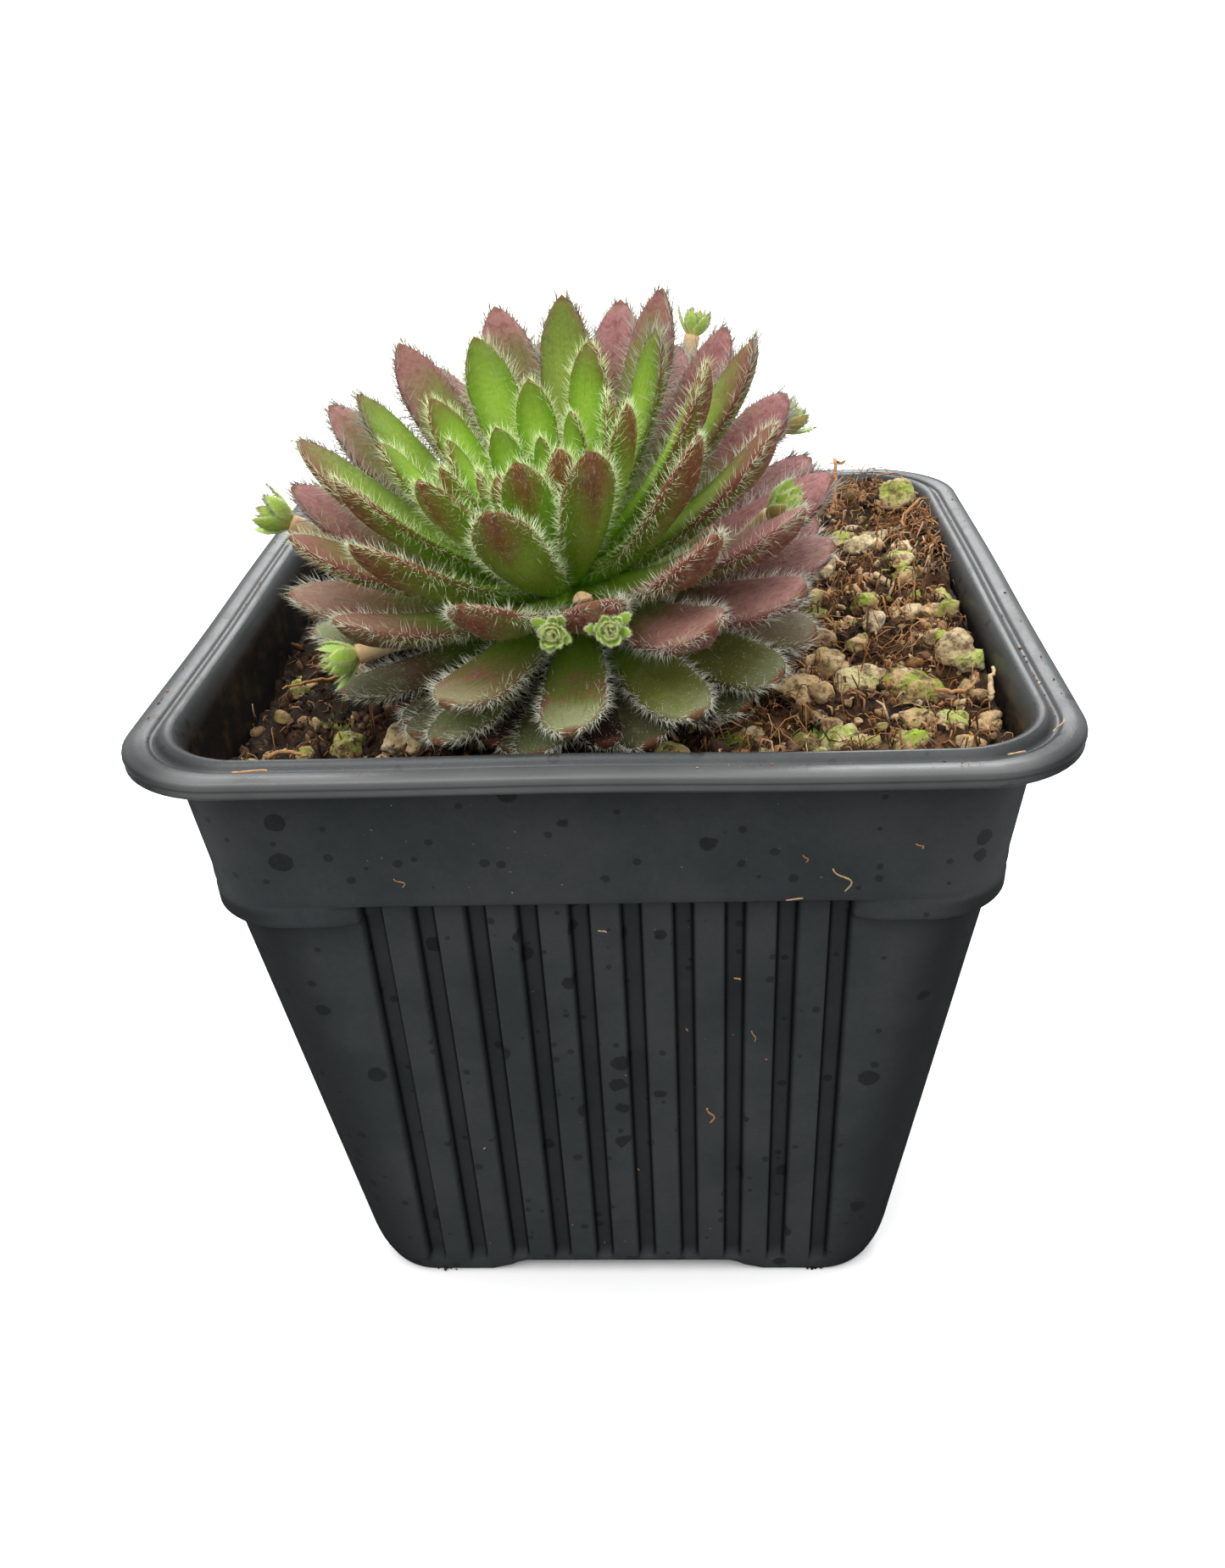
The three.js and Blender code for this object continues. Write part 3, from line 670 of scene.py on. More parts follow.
def plasticMaterial():
    material, tree, shader = startMaterial("pottingPlastic")
    inside, rim, recessShade, corner = (tree.layer(name) for name in ("inside", "rim", "recessShade", "corner"))
    marks = tree.use(drops, Scale=230.0, Size=0.34, Share=0.34)
    small = tree.use(drops, Scale=620.0, Size=0.34, Share=0.22)
    film = tree.use(dust, Scale=300.0, Amount=0.35, Upward=0.5)["Mask"]
    grit = tree.use(dust, Scale=2600.0, Amount=1.0, Upward=0.65)["Mask"]
    streaks = tree.noise(70.0, 4.0, 0.6)
    cloud = tree.ramp(tree.timesPlus(tree.noise(900.0, 5.0, 0.7), 0.25, streaks), 0.42, 0.80)
    # painted shade down the inside wall, with smears of peat in it
    shadeAndSmear = tree.mix(tree.ramp(tree.noise(420.0, 5.0, 0.7), 0.48, 0.68), (0.004, 0.004, 0.004),
                     (0.034, 0.019, 0.009))
    # a painted highlight on the front of the rim's roll, broken up by the streaks
    paintedRimLight = tree.times(tree.layer("paintedRimLight"), tree.ramp(streaks, 0.3, 0.6, 0.75, 1.0))
    base = tree.coats(
        pot["plastic"],
        (cloud, (0.042, 0.047, 0.049)),
        (tree.times(marks["Mask"], 0.75), (0.006, 0.007, 0.008)),
        (tree.times(small["Mask"], 0.6), (0.006, 0.007, 0.008)),
        (tree.times(film, 0.3), (0.045, 0.043, 0.038)),
        (tree.times(grit, 0.12), (0.20, 0.15, 0.10)),
        # painted shade and peat smears on the inside wall
        (tree.times(inside, 0.92), shadeAndSmear),
        # painted shade deep in the grooves, darkest where each groove wall meets its floor
        (tree.times(recessShade, 0.92), (0.003, 0.003, 0.003)),
        # painted highlight on the front of the rim
        (paintedRimLight, (0.100, 0.104, 0.104)),
        # painted shade at the corners
        (tree.times(corner, 0.6), (0.008, 0.009, 0.010)),
    )
    rough = tree.ramp(streaks, 0.3, 0.7, 0.38, 0.48)
    rough = tree.minus(rough, tree.times(rim, 0.10))
    rough = tree.plus(rough, tree.times(film, 0.35))
    rough = tree.minus(rough, tree.times(marks["Mask"], 0.07))
    tree.join(rough, shader["Roughness"])
    # a dull skin: the walls lose their gloss at a glancing angle, and the grooves and corners too
    glancing = tree.add("ShaderNodeLayerWeight").outputs["Facing"]
    gloss = tree.timesPlus(rim, 0.16, 0.18)
    kept = tree.mix(rim, tree.ramp(glancing, 0.50, 0.88, 1.0, 0.06), (1.0, 1.0, 1.0))
    gloss = tree.times(gloss, kept)
    gloss = tree.times(gloss, tree.timesPlus(recessShade, -1.0, 1.0))
    gloss = tree.times(gloss, tree.timesPlus(corner, -0.6, 1.0))
    tree.join(gloss, shader["Specular IOR Level"])
    grain = tree.noise(5200.0, 2.0)
    height = tree.timesPlus(marks["Edge"], 0.35, grain)
    height = tree.timesPlus(tree.noise(45.0, 2.0), 6.0, height)
    dress(tree, shader, base, height, 0.10, 0.0003)
    return material


def potLayers(rings, heights, turned):
    # masks for the plastic: painted shade inside, rim, painted shade deep in the grooves, painted highlight
    # on the front roll, painted shade at the corners
    around = len(rings[0])
    x, y, z = np.concatenate(rings).T
    inside = turned * smoothStep(pot["height"] - 0.6, pot["height"] - 3.0, heights)
    rim = smoothStep(pot["height"] - 3.0, pot["height"] - 2.2, heights)
    onFace = np.tile(faceOutline(pot["bodyTopHalf"], pot["bodyCorner"])[3], 4)
    onWall = onFace < roundCorner
    fromMiddle = np.abs(onFace - nearestGroove(onFace))
    foot = np.exp(-((fromMiddle - pot["grooveFloor"] / 2) / 0.16) ** 2)
    ribbed = (heights > pot["grooveBottom"]) * (heights < pot["bandBottom"] - 0.4) * (1 - turned)
    # painted shade in the grooves, most at the foot of each wall
    recessShade = np.outer(ribbed, 0.12 * (grooveShare(onFace) * onWall) + 0.88 * foot * onWall).ravel()
    # painted highlight along the front of the rim's top
    paintedRimLight = smoothStep(-41.5, -43.5, y) * smoothStep(43, 36, np.abs(x))
    paintedRimLight = paintedRimLight * smoothStep(pot["height"] - 2.6, pot["height"] - 1.2, z)
    halves = np.repeat([ring[:, 0].max() for ring in rings], around)
    corner = smoothStep(-10, -3, np.abs(x) - halves) * smoothStep(-10, -3, np.abs(y) - halves)
    # the corners are painted dark and lose gloss on the rim and on the body below the band
    shadedAndDull = np.maximum(np.repeat(rim, around), 1.2 * smoothStep(0, -1, z - pot["bandBottom"]))
    return {"inside": inside, "rim": rim, "recessShade": recessShade, "paintedRimLight": paintedRimLight, "corner": corner * shadedAndDull}


def drillHoles(shell, layerNames):
    # one hole in the middle of the floor, and four around it
    far, sides = pot["drainPlace"], pot["drainSides"]
    holes = [(0, 0, pot["drainMiddle"])]
    holes += [(x, y, pot["drainCorner"]) for x in (-far, far) for y in (-far, far)]
    turn = np.linspace(0, 2 * math.pi, sides, endpoint=False)
    rims = np.stack([np.cos(turn), np.sin(turn)], -1)
    points = np.concatenate([np.column_stack([rims * radius + (x, y), np.full(sides, z)])
                             for x, y, radius in holes for z in pot["drainSpan"]])
    faces = [repeatFaces(part, len(holes), 2 * sides) for part in closedRings(2, sides)]
    cutter = makeMesh("drill", points, faces, shell.data.materials[0], dict.fromkeys(layerNames, 0.0))
    cut = shell.modifiers.new("drain", "BOOLEAN")
    cut.object = cutter
    cut.solver = "EXACT"
    bpy.context.view_layer.objects.active = shell
    bpy.ops.object.modifier_apply(modifier="drain")
    bpy.data.objects.remove(cutter)


def addPot():
    rows = roundedRows(potProfile())
    top = max(range(len(rows)), key=lambda i: rows[i][1])
    under = [(share * pot["baseHalf"], 0.0, share * 6.0) for share in (0.08, 0.3, 0.5, 0.7, 0.86)]
    rings = [potRing(*row, False) for row in under]
    rings += [potRing(*row, i <= top + 6) for i, row in enumerate(rows)]
    heights = np.array([0.0] * len(under) + [row[1] for row in rows])
    turned = np.arange(len(rings)) > len(under) + top
    layers = potLayers(rings, heights, turned)
    faces = closedRings(len(rings), len(rings[0]))
    shell = makeMesh("potShell", np.concatenate(rings), faces, plasticMaterial(), layers)
    drillHoles(shell, layers)
    settle(shell, ["pot"])
    print("pot:", len(shell.data.polygons), "faces")


# Many small things are laid on the soil, so each kind is one mesh.

def ringAround(ahead, steady, sides):
    # even steps out from a line, all round it
    side = unit(np.cross(ahead, steady))
    other = np.cross(ahead, side)
    turn = (np.arange(sides) * 2 * math.pi / sides)[:, None]
    return side[..., None, :] * np.cos(turn) + other[..., None, :] * np.sin(turn)


def tubes(lines, radii, sides):
    # closed round tubes along many lines that have the same number of points
    count, steps = lines.shape[:2]
    ring = ringAround(unit(np.gradient(lines, axis=1)), (0.21, 0.34, 0.92), sides)
    points = (lines[:, :, None] + ring * radii[:, :, None, None]).reshape(-1, 3)
    return points, [repeatFaces(part, count, steps * sides) for part in closedRings(steps, sides)]


def addTubes(name, lines, radii, sides, material, layers, slotName="soil", nodes=()):
    addPiece(name, *tubes(lines, radii, sides), material, layers, slotName, nodes)


def spikes(starts, ways, lengths, radii):
    # three-sided spikes
    ring = ringAround(ways, (0.31, 0.17, 0.93), 3)
    foot = starts[:, None] + ring * np.broadcast_to(radii, len(starts))[:, None, None]
    tip = (starts + ways * lengths[:, None])[:, None]
    points = np.concatenate([foot, tip], 1).reshape(-1, 3)
    return points, [repeatFaces(np.array([(0, 1, 3), (1, 2, 3), (2, 0, 3)]), len(starts), 4)]


def randomTurns(count, luck):
    # rotation matrices that face every way
    spin = unit(luck.normal(size=(count, 4)))
    w, x, y, z = spin.T
    rows = [1 - 2 * (y * y + z * z), 2 * (x * y - z * w), 2 * (x * z + y * w),
            2 * (x * y + z * w), 1 - 2 * (x * x + z * z), 2 * (y * z - x * w),
            2 * (x * z - y * w), 2 * (y * z + x * w), 1 - 2 * (x * x + y * y)]
    return np.stack(rows, -1).reshape(-1, 3, 3)


stone = {
    "cuts": 9,
    "cutDepth": (0.62, 0.98),
    "edge": 9.0,
    "grazing": 0.05,
    "far": 9.0,
    "bulge": 1.15,
    "noises": ((0.85, 3, 0.7), (0.36, 4, 0.45), (0.17, 5, 0.25)),
}


def lumps(places, sizes, stretch, detail, rough, luck, turns=None):
    # uneven stones: spheres cut flat by chance planes, then pushed in and out by noise
    sphere, faces = icoSphere(detail)
    count, cuts, edge = len(places), stone["cuts"], stone["edge"]
    planes = unit(luck.normal(size=(count, cuts, 3)))
    depth = luck.uniform(*stone["cutDepth"], (count, cuts, 1))
    facing = np.einsum("nci,ki->nck", planes, sphere)
    graze = stone["grazing"]
    reach = np.where(facing > graze, depth / np.maximum(facing, graze), stone["far"])
    radius = np.minimum((reach ** -edge).sum(1) ** (-1 / edge), stone["bulge"])
    field = (sphere[None] + luck.uniform(0, 90, (count, 1, 3))).reshape(-1, 3)
    push = sum(valueNoise(field, size, seed) * rough * share for size, seed, share in stone["noises"])
    points = sphere[None] * (radius + push.reshape(count, -1))[:, :, None] * stretch[:, None]
    turns = randomTurns(count, luck) if turns is None else turns
    points = np.einsum("nij,nkj->nki", turns, points) * sizes[:, None, None] + places[:, None]
    return points.reshape(-1, 3), [repeatFaces(faces, count, len(sphere))]


# The soil: its bed, its grit, and the fibres, flakes and moss on it.

soil = {
    "top": 71.0,
    "slope": (0.05, 0.025),
    "swell": 0.8,
    "wallGap": 0.12,
    "ringCount": 86,
    "ringPoints": 270,
    "clump": 0.95,
    "crumb": 0.75,
    "dust": 0.45,
    "seed": 21,
    "crumbCount": 2200,
    "fibreCount": 1150,
    "tangles": 16,
    "shredCount": 2400,
    "rimShreds": 170,
    "flakeCount": 1500,
    "largeFlake": ((31.3, -8.0), 2.6, 0.05),
    "mossCount": 2600,
}


def soilHeight(x, y):
    bumps = np.sin(x * 0.31 + 0.7) * np.cos(y * 0.27 - 0.4) + 0.5 * np.sin(x * 0.13 - y * 0.53)
    return soil["top"] + soil["slope"][0] * x + soil["slope"][1] * y + soil["swell"] * bumps * 0.6


def groundAt(x, y):
    # the bed's real surface: heaped to the right and to the back, sunk at the left
    flat = np.stack([x, y, np.zeros_like(x)], -1)
    heap = 2.0 * smoothStep(20, 38, x) * smoothStep(-34, 10, y) + 0.9 * smoothStep(20, 38, y)
    sink = 1.1 * smoothStep(-12, -34, x)
    crumbs = soil["clump"] * valueNoise(flat, 4.6, 1) + soil["crumb"] * valueNoise(flat, 1.7, 2)
    return soilHeight(x, y) + heap - sink + crumbs + soil["dust"] * valueNoise(flat, 0.7, 3)


def onGround(x, y, lift=0):
    return np.column_stack([x, y, groundAt(x, y) + lift])


def soilShadeAt(points):
    # painted shade on the soil: darkest at the left and along the walls, and in every hollow
    x, y, z = points.T
    edge = 0.6 * smoothStep(33, 38, np.maximum(np.abs(x), np.abs(y)))
    hollow = smoothStep(0.3, -0.7, z - soilHeight(x, y) + 0.6 * smoothStep(-12, -34, x))
    left = smoothStep(-6, -26, x) * (1 - 0.9 * smoothStep(-12, -22, y))
    return np.clip(np.maximum(edge, left) + 0.8 * hollow, 0, 1)


def squareRing(half, corner, count):
    # a square with round corners, counterclockwise and evenly stepped
    straight = half - corner
    quarter = 2 * straight + corner * math.pi / 2
    travel = np.arange(count) / count * 4 * quarter
    side, run = np.floor(travel / quarter), travel % quarter
    angle = np.clip(run - 2 * straight, 0, None) / max(corner, 1e-6)
    x = np.where(run < 2 * straight, run - straight, straight + corner * np.sin(angle))
    y = np.where(run < 2 * straight, -half, -straight - corner * np.cos(angle))
    turn = side * math.pi / 2
    return x * np.cos(turn) - y * np.sin(turn), x * np.sin(turn) + y * np.cos(turn)


def earthMaterial():
    material, tree, shader = startMaterial("dampPeat", Roughness=0.92, Specular_IOR_Level=0.25)
    wide = tree.noise(160.0, 4.0, 0.6)
    base = tree.mix(tree.ramp(wide, 0.36, 0.62), (0.012, 0.006, 0.003), (0.085, 0.038, 0.014))
    clods = tree.ramp(tree.noise(540.0, 4.0, 0.6), 0.52, 0.68, 0.0, 0.6)
    base = tree.mix(clods, base, (0.210, 0.100, 0.036))
    flecks = tree.use(speckle, Color=base, Dark=(0.005, 0.003, 0.002), Light=(0.25, 0.130, 0.055),
                      Scale=2600.0, Amount=0.75)
    moss = tree.ramp(tree.noise(120.0, 5.0, 0.65), 0.56, 0.68)
    color = tree.coats(
        flecks["Color"],
        (tree.times(moss, 0.45), (0.050, 0.062, 0.010)),
        # painted shade on the soil
        (tree.times(tree.layer("soilShade"), 0.75), (0.006, 0.004, 0.002)),
    )
    dress(tree, shader, color, flecks["Height"], 0.9, 0.0007)
    return material


def addSoilBed(material):
    gap, count = soil["wallGap"], soil["ringPoints"]
    low = [(pot["baseHalf"] - pot["wall"] - 1.6, pot["floor"] + 0.1, 4.9)]
    low += [(cavityHalf(z) - gap, z, 6.3) for z in (pot["bodyLow"], 30.0, pot["kneeLow"])]
    low += [(cavityHalf(pot["kneeHigh"]) - gap, pot["kneeHigh"], 7.4)]
    rings = [np.column_stack([*squareRing(half, corner, count), np.full(count, height)])
             for half, height, corner in low]
    rim = cavityHalf(soil["top"]) - gap
    for share in np.linspace(1, 0.012, soil["ringCount"]):
        rings.append(onGround(*squareRing(rim * share, 7.9 * share, count)))
    points = np.concatenate(rings)
    faces = closedRings(len(rings), count)
    # painted shade on the bed
    addPiece("soilBed", points, faces, material, {"soilShade": soilShadeAt(points)}, nodes=["soil"])


def onSoil(count, luck, favour=None):
    # places over the bed, thinned out by a rule where one is given
    found = np.zeros((0, 2))
    reach = cavityHalf(soil["top"]) - 1.0
    while len(found) < count:
        tries = luck.uniform(-reach, reach, (count * 2, 2))
        tries = tries[np.abs(tries).sum(1) < 2 * reach - 4]
        if favour:
            tries = tries[luck.random(len(tries)) < favour(tries[:, 0], tries[:, 1])]
        found = np.concatenate([found, tries])
    return found[:count]


def openGround(x, y):
    # more grit on the open side of the pot than under the plant
    return 0.22 + 0.78 * smoothStep(-4, 20, x + 0.35 * y) + 0.15 * smoothStep(-16, -34, x)


def pumiceMaterial():
    material, tree, shader = startMaterial("pumiceGrit", Roughness=0.85, Specular_IOR_Level=0.3)
    tint = tree.layer("tint")
    pale = tree.tones(tint, (0.24, 0.140, 0.065), (0.0, 0.45, (0.46, 0.31, 0.155)),
                      (0.5, 0.95, (0.54, 0.43, 0.27)))
    flecks = tree.use(speckle, Color=pale, Dark=(0.10, 0.055, 0.03), Light=(0.70, 0.62, 0.46),
                      Scale=1500.0, Amount=0.65)
    algae = tree.times(tree.layer("green"), tree.ramp(tree.noise(420.0, 4.0, 0.6), 0.36, 0.60))
    fresh = tree.mix(tree.ramp(tint, 0.2, 0.8), (0.13, 0.15, 0.012), (0.25, 0.35, 0.028))
    grime = tree.times(tree.ramp(tree.noise(620.0, 5.0, 0.75), 0.46, 0.64), 0.85)
    color = tree.coats(flecks["Color"], (tree.times(algae, tree.upward(-0.3, 0.7)), fresh),
                       (grime, (0.070, 0.036, 0.017)))
    pores = tree.ramp(tree.cells(1500.0), 0.05, 0.30)
    dress(tree, shader, color, tree.timesPlus(pores, 0.7, flecks["Height"]), 0.7, 0.0004)
    return material


# loose stones: how many, their sizes, how much algae they carry, and their detail
stoneSorts = {
    "pumiceSmall": (130, (0.85, 1.05, 1.5), (0.42, 0.5, 0.08), 2),
    "gravel": (420, (0.28, 0.72, 1.6), (0.35, 0.4, 0.05), 1),
}


def addPumice(material):
    luck = np.random.default_rng(soil["seed"])
    for name, (count, (least, spread, power), (share, rich, clean), detail) in stoneSorts.items():
        places = onSoil(count, luck, openGround)
        sizes = least + spread * luck.random(count) ** power
        green = np.where(luck.random(count) < share, luck.uniform(rich, 1, count), clean)
        addStones(name, *places.T, sizes, luck.random(count), green, detail, luck, material)
    addStones("pumiceLarge", *np.array(keyStones).T, 3, luck, material)


def addStones(name, x, y, sizes, tint, green, detail, luck, material):
    # stones that lie about flat, turned any way
    count = len(x)
    stretch = np.stack([np.ones(count), luck.uniform(0.66, 0.95, count), luck.uniform(0.5, 0.8, count)], -1)
    turn, tilt = luck.uniform(0, 2 * math.pi, count), luck.normal(0, 0.35, count)
    cos, sin, level, raised = np.cos(turn), np.sin(turn), np.cos(tilt), np.sin(tilt)
    rows = [cos, -sin * level, sin * raised, sin, cos * level, -cos * raised, 0 * cos, raised, level]
    turns = np.stack(rows, -1).reshape(-1, 3, 3)
    points, faces = lumps(onGround(x, y, sizes * 0.22), sizes, stretch, detail, 0.30, luck, turns)
    addPiece(name, keepInPot(points), faces, material, {"tint": tint, "green": green})


def keepInPot(points):
    # nothing on the soil goes into the wall
    limit = cavityHalf(soil["top"]) - 0.15
    points[:, :2] = np.clip(points[:, :2], -limit, limit)
    return points


# the stones that show best: place across and back, size, paleness, green
keyStones = [
    (30.0, -31.7, 1.7, 0.7, 1.3),
    (33.9, -28.6, 1.5, 1.0, 0.7),
    (31.4, -19.4, 3.0, 0.45, 1.0),
    (36.6, -15.0, 2.3, 0.75, 0.1),
    (34.6, -12.6, 1.6, 0.6, 0.1),
    (19.8, -20.6, 2.9, 0.6, 0.1),
    (26.2, -17.4, 2.7, 0.8, 0.35),
    (23.4, -12.6, 2.2, 0.35, 0.3),
    (23.4, -30.0, 2.9, 0.75, 0.9),
    (27.2, -9.6, 1.5, 0.4, 1.1),
    (29.5, 0.8, 2.1, 0.6, 1.1),
    (33.5, -3.4, 1.7, 0.7, 0.2),
    (35.9, -4.4, 1.8, 0.65, 0.2),
    (37.0, -20.4, 1.5, 0.5, 0.1),
    (37.4, -27.8, 1.6, 0.5, 0.1),
    (35.4, -32.2, 1.5, 0.55, 0.2),
    (-20.9, -24.4, 2.6, 0.7, 0.15),
    (-27.2, -21.0, 2.0, 0.5, 0.9),
    (-31.6, -24.0, 1.4, 0.4, 0.8),
    (6.4, -31.0, 2.1, 0.5, 0.5),
    (9.6, -32.6, 1.2, 0.7, 0.4),
    (15.0, -27.0, 1.7, 0.4, 0.3),
    (36.6, 30.5, 2.4, 0.7, 0.8),
    (31.2, 16.5, 2.2, 0.85, 0.2),
    (25.6, 12.5, 2.3, 0.8, 0.2),
    (29.0, 22.0, 1.9, 0.7, 0.7),
    (19.0, 15.0, 2.0, 0.6, 1.0),
    (34.5, 9.0, 1.6, 0.8, 0.9),
    (24.0, 3.0, 1.9, 0.5, 1.0),
]


def addPeatCrumbs(material):
    luck = np.random.default_rng(soil["seed"] + 1)
    count = soil["crumbCount"]
    places = onSoil(count, luck)
    sizes = 0.22 + 0.6 * luck.random(count) ** 2
    centres = onGround(*places.T, sizes * 0.3)
    points, faces = lumps(centres, sizes, luck.uniform(0.5, 1.1, (count, 3)), 0, 0.35, luck)
    # painted shade on the crumbs, as on the bed
    soilShade = soilShadeAt(centres) * luck.uniform(0.5, 1.0, count)
    addPiece("peatCrumbs", keepInPot(points), faces, material, {"soilShade": soilShade})


def fibreMaterial():
    material, tree, shader = startMaterial("coirFibre", Roughness=0.8, Specular_IOR_Level=0.3)
    base = tree.tones(tree.layer("tint"), (0.040, 0.017, 0.007), (0.0, 0.7, (0.38, 0.175, 0.060)),
                      (0.75, 1.0, (0.56, 0.41, 0.24)))
    dressSpeckled(tree, shader, base, (0.04, 0.02, 0.01), (0.42, 0.27, 0.15), 2200.0, 0.5, 0.5, 0.0002)
    return material


def wanderingLines(starts, lengths, steps, bend, luck):
    # lines that wander over the bed, now and then rising off it
    count = len(starts)
    heading = luck.uniform(0, 2 * math.pi, count)[:, None]
    heading = heading + np.cumsum(luck.normal(0, bend, (count, steps)), 1)
    stride = (lengths / steps)[:, None]
    reach = cavityHalf(soil["top"]) - 0.4
    x = np.clip(starts[:, :1] + np.cumsum(np.cos(heading) * stride, 1), -reach, reach)
    y = np.clip(starts[:, 1:] + np.cumsum(np.sin(heading) * stride, 1), -reach, reach)
    ground = groundAt(x.ravel(), y.ravel()).reshape(x.shape)
    arch = np.sin(np.linspace(0, math.pi, steps)) * luck.exponential(0.7, count)[:, None]
    tilt = np.linspace(-0.3, 1, steps) * luck.exponential(0.9, count)[:, None]
    z = ground * 0.35 + ground.mean(1, keepdims=True) * 0.65 + 0.15 + arch
    z = z + tilt * (luck.random(count) < 0.3)[:, None]
    return np.stack([x, y, np.minimum(z, pot["height"] + 0.4)], -1)


def addShreds(material):
    # short crinkled shreds of peat between the stones, and a tuft of them over the right of the rim
    luck = np.random.default_rng(soil["seed"] + 6)
    steps = 4
    starts = onSoil(soil["shredCount"], luck, lambda x, y: 0.30 + 0.70 * smoothStep(-4, 22, x + 0.3 * y))
    lines = wanderingLines(starts, luck.uniform(0.7, 2.5, len(starts)), steps, 0.8, luck)
    few = soil["rimShreds"]
    x = cavityHalf(76.0) - 0.9 + luck.normal(0, 0.7, few)
    edge = np.column_stack([x, luck.triangular(4, 22, 32, few), 76.2 + luck.normal(0, 0.6, few)])
    run = unit(luck.normal(size=(few, 3)) * (0.7, 1.0, 0.6)) * luck.uniform(0.8, 2.4, few)[:, None]
    tuft = edge[:, None] + run[:, None] * np.linspace(-0.5, 0.5, steps)[:, None]
    lines = np.concatenate([lines, tuft])
    lines += luck.normal(0, 0.13, lines.shape)
    thick = luck.uniform(0.06, 0.17, len(lines))[:, None] * np.array([0.7, 1.0, 0.9, 0.5])
    # paler or darker by chance, and darker at the left as painted shade
    tint = luck.random(len(lines)) * (1 - 0.5 * smoothStep(-6, -26, lines[:, 0, 0]))
    addTubes("peatShreds", lines, thick, 3, material, {"tint": tint})


def addFibres(material):
    luck = np.random.default_rng(soil["seed"] + 2)
    steps, count = 6, soil["fibreCount"]
    starts = onSoil(count, luck, lambda x, y: 0.45 + 0.55 * smoothStep(0, 25, x + 0.4 * y))
    # half of them are drawn together into tangles
    middles = onSoil(soil["tangles"], luck, lambda x, y: 0.1 + 0.9 * smoothStep(5, 30, x + 0.6 * y))
    half = count // 2
    starts[:half] = middles[luck.integers(0, len(middles), half)] + luck.normal(0, 1.6, (half, 2))
    lines = wanderingLines(starts, luck.uniform(1.5, 7.0, count), steps, 0.60, luck)
    lines[:half, :, 2] += luck.exponential(0.7, (half, 1))
    thick = luck.uniform(0.035, 0.085, count) * np.where(luck.random(count) < 0.06, 2.0, 1)
    taper = 1 - 0.7 * np.abs(np.linspace(-1, 1, steps)) ** 3
    addTubes("coirFibres", lines, thick[:, None] * taper, 3, material, {"tint": luck.random(count)})


# sticks and stiff strands: two ends, thickness, paleness
strands = [
    ((31.2, 8.0, 74.6), (34.4, -0.4, 74.4), 0.42, 1.0),
    ((27.6, 30.0, 74.0), (29.4, 39.6, 79.6), 0.40, 0.75),
    ((29.4, 39.4, 79.5), (31.0, 40.6, 79.0), 0.26, 0.85),
    ((25.6, 16.6, 74.6), (27.9, 9.4, 75.2), 0.26, 0.9),
    ((36.8, 20.0, 75.0), (39.4, 27.4, 77.6), 0.30, 0.7),
    ((38.0, 8.0, 74.4), (39.2, 14.0, 76.8), 0.28, 0.8),
    ((35.0, 33.0, 75.0), (39.4, 30.0, 77.4), 0.26, 0.7),
    ((38.6, -24.8, 73.6), (39.1, -22.0, 75.8), 0.34, 0.95),
    ((33.4, -22.2, 73.6), (38.0, -20.6, 74.6), 0.22, 0.8),
    ((20.6, -9.0, 73.0), (24.6, -7.6, 74.0), 0.20, 0.85),
    ((-31.0, -8.0, 70.0), (-35.6, -14.0, 71.6), 0.22, 0.7),
    ((-34.6, -26.6, 69.6), (-29.4, -29.6, 71.2), 0.24, 0.8),
]


def addStrands(material):
    luck = np.random.default_rng(soil["seed"] + 3)
    steps = 14
    share = np.linspace(0, 1, steps)[:, None]
    starts, ends, thick, tint = (np.array(column) for column in zip(*strands))
    lines = []
    for start, end in zip(starts, ends):
        bow = luck.normal(0, 0.5, 3) * np.sin(np.pi * share)
        kink = luck.normal(0, 0.07, (steps, 3))
        lines.append(start * (1 - share) + end * share + bow + kink)
    thick = thick[:, None] * (1 - 0.5 * share[:, 0] ** 2)
    addTubes("strawStrands", np.array(lines), thick, 7, material, {"tint": tint})


def flakeMaterial():
    material, tree, shader = startMaterial("barkFlake", Roughness=0.85, Specular_IOR_Level=0.3)
    base = tree.tones(tree.layer("tint"), (0.040, 0.020, 0.012), (0.0, 0.75, (0.34, 0.175, 0.070)),
                      (0.85, 1.0, (0.56, 0.38, 0.21)))
    dressSpeckled(tree, shader, base, (0.02, 0.012, 0.01), (0.34, 0.23, 0.14), 1700.0, 0.6, 0.6, 0.0003)
    return material


def addFlakes(material):
    luck = np.random.default_rng(soil["seed"] + 4)
    count = soil["flakeCount"]
    places = onSoil(count, luck)
    sizes = 0.35 + 1.15 * luck.random(count) ** 2
    # paler or darker by chance, and darker at the left as painted shade
    tint = luck.random(count) * (1 - 0.6 * smoothStep(-6, -26, places[:, 0]))
    places[0], sizes[0], tint[0] = soil["largeFlake"]
    stretch = np.stack([np.ones(count), luck.uniform(0.3, 0.7, count), np.full(count, 0.16)], -1)
    points, faces = lumps(onGround(*places.T, 0.5), sizes, stretch, 0, 0.25, luck)
    addPiece("barkFlakes", keepInPot(points), faces, material, {"tint": tint})


# patches of moss: place across and back, and spread
mossPatches = [
    (19.9, -6.2, 4.2),
    (17.0, -11.0, 3.0),
    (29.8, -30.9, 1.8),
    (26.0, -3.0, 3.0),
    (34.0, 9.5, 2.4),
    (21.5, 8.0, 2.6),
    (-24.5, -26.5, 2.6),
    (12.5, -28.5, 2.2),
    (21.5, -27.0, 2.0),
    (-30.0, -17.0, 2.4),
]


